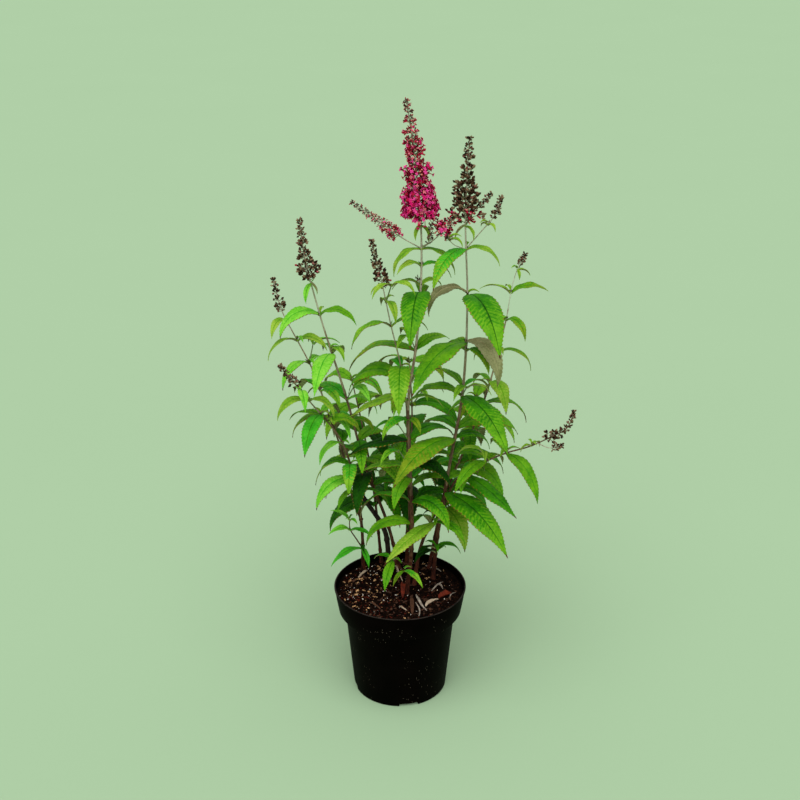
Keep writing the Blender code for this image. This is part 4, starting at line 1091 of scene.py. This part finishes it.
def pot_profile():
    """Up the outside over the lip and down the inside"""
    bevel = 0.0012
    lip = POT_HEIGHT - LIP_HEIGHT
    return (
        (0.0, 0.0), (FOOT_RADIUS - bevel, 0.0), (FOOT_RADIUS, bevel),
        (BODY_TOP_RADIUS, COLLAR_FOOT - 0.0005),
        (COLLAR_FOOT_RADIUS - bevel, COLLAR_FOOT), (COLLAR_FOOT_RADIUS, COLLAR_FOOT + bevel),
        (collar_radius(lip) - 0.0004, lip), (RIM_RADIUS, lip + 0.0004),
        (RIM_RADIUS, POT_HEIGHT), (RIM_RADIUS - WALL, POT_HEIGHT),
        (collar_radius(COLLAR_FOOT) - WALL, COLLAR_FOOT + WALL),
        (BODY_TOP_RADIUS - WALL, COLLAR_FOOT - LEDGE_DROP),
        (body_radius(WALL) - WALL, POT_FLOOR), (0.0, POT_FLOOR),
    )


def soil_profile():
    """The fill, a gap clear of the pot's wall and floor"""
    floor = POT_FLOOR + GAP
    inside = WALL + GAP
    ledge = COLLAR_FOOT + WALL
    return (
        (0.0, floor), (body_radius(floor) - inside, floor),
        (BODY_TOP_RADIUS - inside, COLLAR_FOOT - LEDGE_DROP + GAP),
        (collar_radius(COLLAR_FOOT) - inside, ledge + GAP),
        (collar_radius(SOIL_TOP) - inside - SOIL_EASE, SOIL_TOP), (0.0, SOIL_TOP),
    )


def new_mesh(name, points, faces):
    """A mesh from its points and faces"""
    mesh = bpy.data.meshes.new(name)
    mesh.from_pydata(points, [], faces)
    return mesh


def new_object(name, content):
    """An object in the scene that shows a mesh, a lamp or a camera"""
    made = bpy.data.objects.new(name, content)
    bpy.context.scene.collection.objects.link(made)
    return made


class Pile:
    """One piece in the making: points, faces and the finish of each face"""

    def __init__(self, name, slot, *nodes):
        self.name = name
        self.slot = slot
        self.nodes = nodes
        self.blocks = []
        self.count = 0

    def add(self, shape, finishes):
        """Adds one closed form; finishes is a name for the whole of it, or one for each face"""
        names = [finishes] * len(shape.faces) if isinstance(finishes, str) else finishes
        points = np.asarray(shape.points, dtype=float).reshape(-1, 3)
        self.blocks.append((points, shape.faces, self.count, names))
        self.count += len(points)

    def build(self, crease=PLANT_CREASE):
        """The finished mesh object, riding on the plant's one body"""
        points = np.vstack([block[0] for block in self.blocks])
        faces = [[corner + start for corner in face] for _, group, start, _ in self.blocks for face in group]
        names = [name for block in self.blocks for name in block[3]]
        order = {name: index for index, name in enumerate(dict.fromkeys(names))}
        mesh = new_mesh(self.name, points.tolist(), faces)
        for name in order:
            mesh.materials.append(finish(name))
        mesh.polygons.foreach_set("material_index", [order[name] for name in names])
        mesh.shade_smooth()
        mesh.set_sharp_from_angle(angle=math.radians(crease))
        made = new_object(self.name, mesh)
        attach(made, "root")
        if self.nodes:
            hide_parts(*self.nodes)
        return made


def linear(level):
    """A colour level from 0 to 255 as the light it stands for"""
    share = level / 255.0
    return share / 12.92 if share <= 0.04045 else ((share + 0.055) / 1.055) ** 2.4


def colour(levels):
    return (*(linear(level) for level in levels), 1.0)


def wire(tree, node, inputs):
    """Sets a node's inputs, and links those whose value is another node's output"""
    for name, value in inputs.items():
        if isinstance(value, bpy.types.NodeSocket):
            tree.links.new(value, node.inputs[name])
        else:
            node.inputs[name].default_value = value


def outputs(tree, kind, inputs, **settings):
    """The outputs of a new shader node"""
    node = tree.nodes.new("ShaderNode" + kind)
    for name, value in settings.items():
        setattr(node, name, value)
    wire(tree, node, inputs)
    return node.outputs


def finish(name):
    """A procedural finish: two close tones in soft patches, a fine grain in relief and an uneven sheen"""
    if name in bpy.data.materials:
        return bpy.data.materials[name]
    look = FINISHES[name]
    made = bpy.data.materials.new(name)
    made.use_nodes = True
    tree = made.node_tree
    place = outputs(tree, "TexCoord", {})["Object"]
    stretched = outputs(tree, "Mapping", {"Vector": place, "Scale": (1.0, 1.0, look.stretch)})["Vector"]
    patches = outputs(tree, "TexNoise", {"Vector": stretched, "Scale": look.patches, "Detail": 3.0})["Fac"]
    grain = outputs(tree, "TexNoise", {"Vector": stretched, "Scale": look.grain, "Detail": 4.0})["Fac"]
    mottle = outputs(tree, "Mix", {"Factor": MOTTLE, "A": patches, "B": grain})["Result"]
    ramp = tree.nodes.new("ShaderNodeValToRGB")
    for stop, position, tone in zip(ramp.color_ramp.elements, RAMP_STOPS, (look.dark, look.light)):
        stop.position = position
        stop.color = colour(tone)
    tree.links.new(mottle, ramp.inputs["Fac"])
    painted = ramp.outputs["Color"]
    if look.specks:
        painted = speckled(tree, place, painted, look.specks)
    bump = outputs(tree, "Bump", {"Strength": look.relief, "Distance": RELIEF_DEPTH, "Height": grain})
    rough = outputs(tree, "MapRange", {
        "Value": grain, "To Min": look.rough - UNEVEN, "To Max": look.rough + UNEVEN})
    wire(tree, tree.nodes["Principled BSDF"], {
        "Base Color": painted, "Normal": bump["Normal"], "Roughness": rough["Result"],
        "Specular IOR Level": look.gloss})
    return made


def speckled(tree, place, under, specks):
    """Small specks of another tone strewn thinly over a finish"""
    cells = outputs(tree, "TexVoronoi", {"Vector": place, "Scale": specks.scale})["Distance"]
    near = outputs(tree, "Math", {0: cells, 1: specks.size}, operation='LESS_THAN')[0]
    clouds = outputs(tree, "TexNoise", {"Vector": place, "Scale": specks.clouds})["Fac"]
    dusty = outputs(tree, "Math", {0: clouds, 1: specks.rarity}, operation='GREATER_THAN')[0]
    both = outputs(tree, "Math", {0: near, 1: dusty}, operation='MULTIPLY')[0]
    mixed = outputs(tree, "Mix", {"Factor": both, "A": under, "B": colour(specks.tone)}, data_type='RGBA')
    return mixed["Result"]


def between(values, shares):
    """Values known at even steps, read between them along a smooth curve"""
    last = len(values) - 1
    slopes = np.gradient(values, axis=0)
    place = np.clip(np.asarray(shares) * last, 0.0, last - 1e-6)
    low = place.astype(int)
    return eased((place - low)[..., None], values[low], values[low + 1], slopes[low], slopes[low + 1])


@lru_cache(maxsize=None)
def sheet_faces(rows, columns):
    """Faces of a thin closed sheet, upper grid then lower grid, and the zone that each face lies in"""
    found = []
    by_row, by_column, count = SCATTER
    middle = (columns - 1) / 2.0
    under = rows * columns
    for row in range(rows - 1):
        for column in range(columns - 1):
            first = row * columns + column
            corners = [first, first + columns, first + columns + 1, first + 1]
            beside = abs(column + 0.5 - middle)
            mingled = (row * by_row + column * by_column) % count / count * MINGLED
            far = row / rows + OUTER_BEND * (beside / middle) ** 2 + mingled
            zone = "outer" if far > OUTER_FROM else "inner"
            if beside < 1.0:
                zone = "rib"
            elif beside > middle - 1.0 and row % 3 == 1:
                zone = "tooth"
            if row > rows - TIP_ROWS - 1:
                zone = "tip"
            found.append((corners, zone))
            lower = [corner + under for corner in corners[::-1]]
            found.append((lower, "under_rib" if beside < 1.0 else "under"))
        for edge, flip in ((0, False), (columns - 1, True)):
            near = row * columns + edge
            corners = [near, near + under, near + columns + under, near + columns]
            found.append((corners[::-1] if flip else corners, "edge"))
    for row, flip in ((0, False), (rows - 1, True)):
        for column in range(columns - 1):
            near = row * columns + column
            corners = [near, near + 1, near + 1 + under, near + under]
            found.append((corners[::-1] if flip else corners, "edge"))
    return [face for face, zone in found], [zone for face, zone in found]


def fine_leaf(dice, leaf, pile, tone):
    """One leaf: veins sunk between swollen fields, a grooved rib, a toothed margin and a felted underside"""
    size = leaf.length
    veins = max(5, round(size / (VEIN_STEP * (size / 0.1) ** 0.5)))
    starts = np.arange(veins)[:, None] + np.array(VEIN_ROWS)
    steps = np.append(starts.ravel(), veins) / veins * LAST_VEIN
    rows = len(steps)
    across = LEAF_COLUMNS if size > FINE_LEAF else SMALL_COLUMNS
    faces, zones = sheet_faces(rows, len(across))
    frames = arch(leaf, [step / ARCH_STEPS for step in range(ARCH_STEPS + 1)])
    middles, sides, uppers = (np.array([frame_at[part] for frame_at in frames]) for part in range(3))

    wide = leaf.width * size / 2.0
    beside = np.array(across)
    off = np.abs(beside)
    on_rib = off < 0.01
    slant = VEIN_SLANT * wide * breadth(steps)[:, None] / size * off
    share = np.minimum(steps[:, None] + slant, LAST_SHARE)
    half = np.maximum(wide * breadth(share), PETIOLE * (1.0 - share) ** 2 + TIP_HALF)
    high = np.array([row % 3 == 2 for row in range(rows)])[:, None]
    tooth = TOOTH * min(1.0, size / TOOTHED_LEAF) * np.where(high, 1.0, -0.6) * (off > 0.99)
    tooth = tooth * np.clip((share - TOOTH_FADE) / TOOTH_FADE, 0.0, 1.0)
    tooth = tooth * np.clip((1.0 - share) / TOOTH_FADE, 0.0, 1.0)
    out = half * beside + np.sign(beside) * tooth
    folded = float(np.interp(size, YOUNG_TO_GROWN, FOLD))
    droop = float(np.interp(size, YOUNG_TO_GROWN, DROOP))
    wave = dice.uniform(*WAVE)
    phase = dice.uniform(0.0, math.tau)
    waves = dice.uniform(*WAVES)
    ripple = np.sin(share * math.tau * waves + phase + np.sign(beside) * OUT_OF_STEP)
    rise = half * (folded * off - droop * beside * beside)
    rise = rise + half * wave * beside * beside * ripple
    swell = BULGE * min(1.0, size / BULGED_LEAF) * 4.0 * off * (1.0 - off) * np.where(high, 1.0, -0.5)
    groove = -RIB_DEPTH * (1.0 - share) * on_rib
    rise = rise + (swell + groove) * np.clip(share / SMOOTH_BASE, 0.0, 1.0)
    thick = BLADE_THICK + PETIOLE_THICK * np.exp(-share / PETIOLE_FADE)
    keel = RIB_THICK * (1.0 - 0.85 * share) * on_rib
    centre, side, upper = (between(known, share) for known in (middles, sides, uppers))
    top = centre + side * out[..., None] + upper * rise[..., None]
    bottom = top - upper * (thick + keel)[..., None]
    points = np.vstack([top.reshape(-1, 3), bottom.reshape(-1, 3)])
    pile.add(Shape(points, faces), [tone[zone] for zone in zones])


def leaf_tone(dice, leaf, picked):
    """The finishes of a leaf's zones: picked for a leaf that stands out, else darker low and inside as
    painted shade
    """
    far = math.hypot(leaf.root.x - CROWN_MIDDLE[0], leaf.root.y - CROWN_MIDDLE[1]) / CROWN_REACH
    high = (leaf.root.z - CROWN_FOOT) / CROWN_HEIGHT
    # Painted light and shade: high, outer and front leaves get lighter tones, low and inner ones darker
    light = HIGH_LIGHT * high + OUTER_LIGHT * far + dice.gauss(0.0, LIGHT_VARIETY)
    light += FRONT_LIGHT if leaf.root.y < FRONT_FROM else 0.0
    light += YOUNG_LIGHT if leaf.length < SMALL_LEAF else 0.0
    tone = LIGHT_ORDER[held(int(light * len(LIGHT_ORDER)), 0, len(LIGHT_ORDER) - 1)]
    if leaf.root.x < MINT_FROM and dice.random() < MINT_CHANCE:
        tone = "mint"
    # The rib's tone is darker than the blade's, as painted shade in its groove
    inner, outer, rib = ("leaf_" + part for part in LEAF_TONES[picked or tone])
    # The underside's pale olive is partly the felt's own colour and partly painted light shining through
    under = "leaf_under_pale" if dice.random() < PALE_CHANCE else "leaf_under"
    grown = leaf.length > GROWN_LEAF
    tip = "leaf_brown" if grown and dice.random() < BROWN_CHANCE else outer
    return {"inner": inner, "outer": outer, "rib": rib, "under": under, "under_rib": "leaf_under_rib",
            "edge": "leaf_brown" if grown else outer, "tooth": "leaf_rust" if grown else outer, "tip": tip}


def wood_tone(height, grain, felted):
    """The bark's finish at a height: dark red-brown below, then grey-brown, and pale felt near the top"""
    level = height + grain * TONE_DRIFT
    for limit, name in BARK_TONES:
        if level < limit:
            return name
    return "bark_white" if felted else "bark_pale"


def add_wood(pile, route, radius, span, sides, step, knots=(), foot=None,
             felted=False, plug=0.0, fixed=None):
    """A limb with the bark's long ridges and swollen nodes; plug is a slimmer end inside the next piece"""
    start, end = span
    count = max(2, round((end - start) / step))
    distances = np.linspace(start, end, count + 1).tolist()
    if plug:
        distances.append(min(end + plug, route.length))
    sections = rings(route, distances, lambda distance: 1.0, sides)
    bumps = [route.at_height(height) for height in knots]
    seed = spread(pile.name) * 0.37
    shaped = []
    for distance, section in zip(distances, sections):
        centre = route.place(distance)
        swell = 1.0 + KNOT_SWELL * sum(math.exp(-((distance - knot) / KNOT_LENGTH) ** 2) for knot in bumps)
        slimmer = PLUG_SLIMMER if plug and distance == distances[-1] else 1.0
        reach = radius(distance) * SLIMMER * swell * slimmer
        ring = []
        for turn, point in zip(turns(sides), section):
            x, y = math.cos(turn), math.sin(turn)
            ridge = noise.noise((x * RIDGE_RATE + seed, y * RIDGE_RATE, distance * RIDGE_ALONG))
            fleck = noise.noise((x * FLECK_RATE, y * FLECK_RATE + seed, distance * FLECK_ALONG))
            ring.append(centre + (point - centre) * reach * (1.0 + RIDGE * ridge + FLECK * fleck))
        shaped.append(ring)
    if foot is not None:
        heading = route.heading(start)
        shaped[0] = [point + heading * ((foot - ROOTED - point.z) / heading.z) for point in shaped[0]]
    shape = skin(shaped)
    names = []
    for face in shape.faces:
        middle = np.mean([shape.points[corner] for corner in face], axis=0)
        grain = noise.noise(Vector(middle) * TONE_RATE)
        names.append(fixed or wood_tone(middle[2], grain, felted))
    pile.add(shape, names)


def rod(pile, start, end, thick, thin, name):
    """A three-sided stalk between two points"""
    length = (end - start).length
    turned_along(pile, start, (end - start) / length, ((0.0, thick), (length, thin)), 3, name)


def turned_along(pile, start, heading, profile, sides, name, tip_name=None):
    """A small form turned about a heading from (distance, radius) steps; a radius of 0 is a point"""
    side, across = square_to(heading)
    shape = skin([[start + heading * distance + spoke(turn, side, across) * reach
                   for turn in turns(sides if reach else 1)] for distance, reach in profile])
    names = [name] * len(shape.faces)
    if tip_name:
        names[-sides:] = [tip_name] * sides
    pile.add(shape, names)


def scaled(profile, size):
    """A profile of (distance, radius) shares at a size"""
    return [(distance * size, reach * size) for distance, reach in profile]


def floret(dice, pile, start, heading, length, reach, lobe_name):
    """An open flower: a slim tube and four rounded lobes round a small dark throat"""
    side, across = square_to(heading)
    twist = dice.uniform(0.0, math.tau)
    lean = dice.uniform(-0.25, 0.10)

    def ring(distance, radii, bend=0.0):
        outs = [reach * radii[step % len(radii)] for step in range(12)]
        return [start + heading * (distance + bend * out) + spoke(turn, side, across) * out
                for turn, out in zip(turns(12, twist), outs)]

    throat = [start + heading * length * 0.8]
    sections = [ring(0.0, (0.15,)), ring(length * 0.85, (0.20,)), ring(length - LOBE_THICK, LOBES, lean),
                ring(length, LOBES, lean), ring(length - LOBE_THICK * 0.3, (0.17,)), throat]
    pile.add(skin(sections), ["bloom_tube"] * 24 + [lobe_name] * 24 + ["bloom_throat"] * 12 + ["bloom_tube"])


def dress_head(dice, head, route, style_name, piles):
    """A panicle: branched clusters round its axis in whorls, smaller ones between, each part in its stage"""
    style = STYLES[style_name]
    stalk = "stalk_felted" if style_name == "seed" else "stalk_green"
    for whorl in whorls(head, route):
        half = whorl.half * style.fullness
        if whorl.step % 2 == 0:
            half *= style.waist if whorl.share > style.full_below else LOW_WAIST
        for at, depth in style.necks:
            half *= 1.0 - depth * math.exp(-((whorl.share - at) / NECK_LENGTH) ** 2)
        stage = pick(whorl.share, style.stages)
        small = held(half / FULL_SIZE_HALF, SMALLEST, 1.0)
        parts = max(3, round(style.parts * held(half / FULL_COUNT_HALF, *COUNT_RANGE)))
        for corner in range(head.cymes):
            step = corner + 0.5 * (whorl.step // 2 % 2) + dice.uniform(-CYME_SWAY, CYME_SWAY)
            outward = spoke(math.tau * step / head.cymes, whorl.side, whorl.across)
            out = half * dice.uniform(*CYME_OUT) * min(1.0, FOOT_OUT + whorl.share * 6.0)
            foot = route.place(whorl.distance + dice.uniform(-CYME_SLIP, CYME_SLIP))
            knob = foot + outward * out * KNOB_OUT + whorl.heading * half * KNOB_UP
            rod(piles["stalks"], foot, knob, *CYME_STALK, stalk)
            for _ in range(parts):
                wander = Vector([dice.gauss(0.0, WANDER) for axis in range(3)])
                aim = (outward + whorl.heading * SPIKE_LIFT + wander).normalized()
                if aim.dot(outward) < INWARD:
                    aim = (aim + outward * TURNED_OUT).normalized()
                room = max(LEAST_ROOM, out * dice.uniform(*PART_OUT) - out * KNOB_OUT)
                head_part(dice, knob, aim, room, small, stage, piles)
    heading = route.heading(route.length)
    foot = route.place(route.length) - heading * TIP_SUNK
    turned_along(piles["seeds"], foot, heading, TIP_PROFILE, 5, style.tip)


def held(value, low, high):
    """A value kept within two bounds"""
    return min(max(value, low), high)


def head_part(dice, knob, aim, room, small, stage, piles):
    """One flower, bud or capsule at the end of its own fine stalk"""
    draw = dice.random()
    tone = dice.random()
    opened, crimson, dark, _ = np.cumsum(stage).tolist()
    if draw < opened:
        length = held(room, *FLORET_LENGTH)
        reach = FLORET * small * dice.uniform(*FLORET_VARIETY)
        floret(dice, piles["flowers"], knob, aim, length, reach, pick(tone, BLOOM_TONES))
    elif draw < crimson:
        size = held(room, *BUD_SIZE) * dice.uniform(*BUD_VARIETY)
        rod(piles["stalks"], knob, knob + aim * size * 0.25, *BUD_STALK, "stalk_green")
        foot = knob + aim * size * 0.2
        names = (pick(tone, BUD_TONES), pick(tone, BUD_TIPS))
        turned_along(piles["flowers"], foot, aim, scaled(BUD, size * 0.85), 5, *names)
    elif draw < dark:
        size = held(room, *DARK_BUD_SIZE) * dice.uniform(*BUD_VARIETY)
        turned_along(piles["seeds"], knob, aim, scaled(BUD, size), 5, "bud_dark", "bud_dark_tip")
    else:
        length = min(room, SEED_STALK) * dice.uniform(*STALK_VARIETY)
        size = dice.uniform(*CAPSULE_SIZE) * small
        end = knob + aim * max(SHORTEST_STALK, length - size)
        rod(piles["stalks"], knob, end, *CAPSULE_STALK, "stalk_dry")
        aim = (aim + Vector((0.0, 0.0, CAPSULE_LIFT))).normalized()
        turned_along(piles["seeds"], end, aim, scaled(CAPSULE, size), 5, pick(tone, SEED_TONES))


def pick(tone, choices):
    """A name from (share, name) choices whose shares add up"""
    for share, name in choices:
        if tone < share:
            return name
    return choices[-1][1]


def bracts(dice, pile, twig, route):
    """Small dry scales at the nodes of the upper wood"""
    for height, first, *_ in twig.pairs:
        if height < BRACT_FROM:
            continue
        foot = route.place(route.at_height(height) + BRACT_OFF)
        for turn in BRACT_TURNS:
            if dice.random() < BRACT_CHANCE:
                bearing = math.radians(first + turn + dice.uniform(-15, 15))
                aim = Vector((math.cos(bearing), math.sin(bearing), dice.uniform(0.5, 1.4))).normalized()
                size = dice.uniform(*BRACT_SIZE)
                profile = ((0.0, 0.0004), (size * 0.5, 0.0007), (size, 0.0))
                tone = pick(dice.random(), BRACT_TONES)
                turned_along(pile, foot + aim * BRACT_OFF, aim, profile, 4, tone)


def dress_limbs(limbs):
    """Bark for every cane, bough and the old stub, each in place of its solid"""
    for name, limb in limbs.items():
        kind, place = name.split("_", 1)
        pile = Pile("bark_" + place + ("_bough" if kind == "bough" else ""), "bark", name)
        heights = [pair[0] for pair in limb.twig.pairs]
        knots = [height for height in heights if limb.route.at_height(height) < limb.end] + OLD_KNOTS
        old = name == "stem_old"
        span = (limb.start if limb.foot else 0.0, limb.end)
        add_wood(pile, limb.route, limb.radius, span, *LIMB_MESH, knots, limb.foot,
                 plug=0.0 if old else PLUG, fixed="bark_dead" if old else None)
        pile.build()


def dress_mass(name, mass):
    """The twigs, leaves, flowers and seed heads of one mass, each kind a piece of its own"""
    dice = random.Random(SEED * 11 + spread(name))
    place = name.replace("crown_", "")
    piles = {kind: Pile(kind + "_" + place, slot, name) for kind, slot in PIECES.items()}
    styles = iter(HEAD_STYLES.get(name, ()))
    for index, each in enumerate(mass.twigs):
        main = index == 0
        route = each.route
        start = each.start if main and not name.startswith("shoot") else 0.0
        span = (start, route.length - TIP_INSIDE)
        knots = [pair[0] for pair in each.twig.pairs]
        mesh = TWIG_MESH if main else SIDE_TWIG_MESH
        add_wood(piles["twigs"], route, each.radius, span, *mesh, knots,
                 felted=name in FELTED, fixed=None if main else "bark_pale")
        bracts(dice, piles["twigs"], each.twig, route)
        if each.twig.spike:
            dress_head(dice, each.twig.spike, route, next(styles, "seed"), piles)
    for route in mass.shoots:
        radius = taper(route, AXIL_THICK * 0.9, AXIL_THICK * 0.7)
        add_wood(piles["twigs"], route, radius, (0.0, route.length), *SHOOT_MESH, fixed="stalk_green")
    picks = LEAF_PICKS.get(name, {})
    for index, leaf in enumerate(mass.leaves):
        fine_leaf(dice, leaf, piles["leaves"], leaf_tone(dice, leaf, picks.get(index)))
    for pile in piles.values():
        if pile.count:
            pile.build()


def dress_pot():
    """The pot as one turned wall: rounded lip, collar with its step, drain notches, and a painted highlight
    along the rim's top edge
    """
    lip = POT_HEIGHT - LIP_HEIGHT
    profile = (
        (0.0, 0.0), (FOOT_RADIUS * 0.6, 0.0), (FOOT_RADIUS - 0.0022, 0.0), (FOOT_RADIUS - 0.0008, 0.0003),
        (FOOT_RADIUS - 0.0001, 0.0012), (BODY_TOP_RADIUS - 0.0001, COLLAR_FOOT - LEDGE_DROP),
        (BODY_TOP_RADIUS + 0.0006, COLLAR_FOOT - 0.0004), (COLLAR_FOOT_RADIUS - 0.0016, COLLAR_FOOT),
        (COLLAR_FOOT_RADIUS - 0.0005, COLLAR_FOOT + 0.0003), (COLLAR_FOOT_RADIUS, COLLAR_FOOT + 0.0012),
        (collar_radius(MID_COLLAR), MID_COLLAR), (collar_radius(lip - 0.0006) - 0.0004, lip - 0.0006),
        (collar_radius(lip) + 0.0002, lip - 0.0001), (RIM_RADIUS, lip + 0.0006),
        (RIM_RADIUS, POT_HEIGHT - 0.0007), (RIM_RADIUS - 0.0004, POT_HEIGHT - 0.0001),
        (RIM_RADIUS - 0.0009, POT_HEIGHT), (RIM_RADIUS - WALL, POT_HEIGHT - 0.0004),
        (collar_radius(MID_COLLAR) - WALL, MID_COLLAR), (COLLAR_FOOT_RADIUS - WALL, COLLAR_FOOT + WALL),
        (BODY_TOP_RADIUS - WALL, COLLAR_FOOT - LEDGE_DROP), (body_radius(0.004) - WALL, POT_FLOOR),
        (0.0, POT_FLOOR),
    )
    shape = turned(profile, FINE_SIDES)
    pile = Pile("pot_wall", "pot", "pot")
    # The faces along the rim's top edge take the lighter finish, a painted highlight
    highlit = [min(shape.points[corner][2] for corner in face) > POT_HEIGHT - RIM_HIGHLIGHT_DEPTH for face in shape.faces]
    pile.add(shape, ["pot_rim" if edge else "pot_black" for edge in highlit])
    made = pile.build(POT_CREASE)
    for turn in turns(NOTCH_COUNT, math.radians(NOTCH_BEARING)):
        cut = made.modifiers.new("notch", 'BOOLEAN')
        cut.operation = 'DIFFERENCE'
        cut.solver = 'EXACT'
        cut.object = notch_cutter(turn)
    evaluated = made.evaluated_get(bpy.context.evaluated_depsgraph_get())
    made.data = bpy.data.meshes.new_from_object(evaluated)
    for cut in list(made.modifiers):
        bpy.data.objects.remove(cut.object)
    made.modifiers.clear()
    made.data.shade_smooth()
    made.data.set_sharp_from_angle(angle=math.radians(POT_CREASE))


def notch_cutter(turn):
    """A block with an arched top, through the pot's wall at its foot"""
    half = NOTCH_WIDTH / 2.0
    shoulder = NOTCH_HEIGHT * 0.6
    top = half * 0.86
    outline = [(-half, NOTCH_FOOT), (half, NOTCH_FOOT), (half, shoulder), (top, NOTCH_HEIGHT),
               (-top, NOTCH_HEIGHT), (-half, shoulder)]
    outward = flat_turn(turn)
    flat = Vector((-outward.y, outward.x, 0.0))
    ends = [[outward * (FOOT_RADIUS + depth) + flat * across + Vector((0.0, 0.0, height))
             for across, height in outline] for depth in NOTCH_DEPTHS]
    shape = skin(ends)
    mesh = new_mesh("cutter", shape.points, shape.faces)
    work = bmesh.new()
    work.from_mesh(mesh)
    bmesh.ops.recalc_face_normals(work, faces=work.faces)
    work.to_mesh(mesh)
    work.free()
    cutter = new_object("cutter", mesh)
    cutter.hide_render = True
    return cutter


def soil_height(x, y):
    """The compost's surface: loose, a little higher round the canes and lower towards the wall"""
    far = math.hypot(x, y) / RIM_RADIUS
    height = SOIL_TOP + SOIL_DOME - SOIL_FALL * far ** 2
    for rate, layer, depth in SOIL_LUMPS:
        height += noise.noise((x * rate, y * rate, layer)) * depth
    return height


def on_soil(x, y):
    return Vector((x, y, soil_height(x, y)))


def dress_soil():
    """The compost: a loose uneven surface and the crumbs, chips, white grains and dry litter on it"""
    outer = collar_radius(SOIL_TOP) - WALL - GAP - SOIL_EASE
    sections = revolved(soil_profile()[:4], SOIL_SIDES)
    for share in np.linspace(1.0, 0.03, SOIL_RINGS):
        reach = outer * share
        places = [(reach * math.cos(turn), reach * math.sin(turn)) for turn in turns(SOIL_SIDES)]
        sections.append([on_soil(x, y) for x, y in places])
    sections.append([on_soil(0.0, 0.0)])
    pile = Pile("compost", "soil", "soil")
    pile.add(skin(sections), "soil_dark")
    pile.build(SOIL_CREASE)

    dice = random.Random(SEED * 13)
    grains = Pile("compost_grains", "soil", "soil")
    for name, count, sizes, flat, chance_at in GRAINS:
        least, most = (size / MM for size in sizes)
        for _ in range(count):
            turn = dice.uniform(0.0, math.tau)
            far = (outer - most * 0.8) * math.sqrt(dice.random())
            x, y = far * math.cos(turn), far * math.sin(turn)
            if dice.random() < chance_at(x, y):
                lump(dice, grains, on_soil(x, y), dice.uniform(least, most), flat, name)
    grains.build(GRAIN_CREASE)

    litter = Pile("compost_litter", "soil", "soil")
    for name, *lengths in LITTER:
        strip(dice, litter, *(length / MM for length in lengths), "litter_" + name)
    litter.build(LITTER_CREASE)


def lump(dice, pile, centre, size, flat, name):
    """An uneven crumb or chip: a stretched, dented twenty-faced form lying at any turn"""
    stretch = Vector((1.0, dice.uniform(*(CRUMB_BREADTH if flat > CRUMB_FROM else CHIP_BREADTH)), flat))
    turn = dice.uniform(0.0, math.tau)
    tip = dice.uniform(-LUMP_TIP, LUMP_TIP)
    points = []
    for corner in LUMP_POINTS:
        dented = corner * dice.uniform(*LUMP_DENT)
        x, y, z = dented.x * stretch.x, dented.y * stretch.y, dented.z * stretch.z
        x, z = x * math.cos(tip) - z * math.sin(tip), x * math.sin(tip) + z * math.cos(tip)
        x, y = x * math.cos(turn) - y * math.sin(turn), x * math.sin(turn) + y * math.cos(turn)
        points.append(centre + Vector((x, y, z)) * size / 2.0)
    pile.add(Shape(points, LUMP_FACES), name)


def strip(dice, pile, x, y, end_x, end_y, width, hump, name):
    """A dry curled leaf or stalk that lies on the compost"""
    along = Vector((end_x - x, end_y - y, 0.0))
    across = Vector((-along.y, along.x, 0.0)).normalized()
    bend = dice.uniform(-0.12, 0.12) * along.length
    thick = Vector((0.0, 0.0, STRIP_THICK))
    sections = []
    for step in range(STRIP_STEPS + 1):
        share = step / STRIP_STEPS
        bow = math.sin(math.pi * share)
        middle = Vector((x, y, 0.0)) + along * share + across * bend * bow
        middle.z = soil_height(middle.x, middle.y) + 0.0010 + hump * bow
        half = across * width / 2.0 * max(0.12, math.sin(math.pi * (0.08 + 0.88 * share)) ** 0.6)
        curl = Vector((0.0, 0.0, half.length * 0.7))
        sections.append([middle - half + curl, middle - half * 0.4, middle + half * 0.4,
                         middle + half + curl * dice.uniform(0.5, 1.3),
                         middle + half * 0.4 - thick, middle - half * 0.4 - thick])
    shape = skin(sections)
    pile.add(Shape(shape.points, [face[::-1] for face in shape.faces]), name)


def set_stage():
    """A wide plain pale floor, an even sky and two large soft lamps, from above and from the front"""
    corners = [(-FLOOR, -FLOOR, 0.0), (FLOOR, -FLOOR, 0.0), (FLOOR, FLOOR, 0.0), (-FLOOR, FLOOR, 0.0)]
    mesh = new_mesh("floor", corners, [(0, 1, 2, 3)])
    mesh.materials.append(finish("floor_plain"))
    floor = new_object("floor", mesh)
    sky = bpy.data.worlds.new("sky")
    sky.use_nodes = True
    light = {"Color": (1.0, 1.0, 1.0, 1.0), "Strength": SKY_STRENGTH}
    wire(sky.node_tree, sky.node_tree.nodes["Background"], light)
    bpy.context.scene.world = sky
    for name, strength, angle, tilt in LAMPS:
        lamp = bpy.data.lights.new(name, 'SUN')
        lamp.energy = strength
        lamp.angle = math.radians(angle)
        new_object(name, lamp).rotation_euler = [math.radians(turn) for turn in tilt]
    bpy.context.scene.view_settings.view_transform = 'Standard'


def set_camera():
    """The camera at the photograph's height, distance and tilt"""
    camera = bpy.data.cameras.new("camera")
    camera.lens = CAMERA_LENS
    camera.sensor_width = CAMERA_SENSOR
    holder = new_object("camera", camera)
    holder.location = CAMERA_PLACE
    holder.rotation_euler = (math.radians(90.0 - CAMERA_PITCH), 0.0, 0.0)
    bpy.context.scene.camera = holder


set_camera()
set_stage()
dress_pot()
dress_soil()
grown_limbs, grown_masses = grow()
dress_limbs(grown_limbs)
for mass_name, grown in grown_masses.items():
    dress_mass(mass_name, grown)
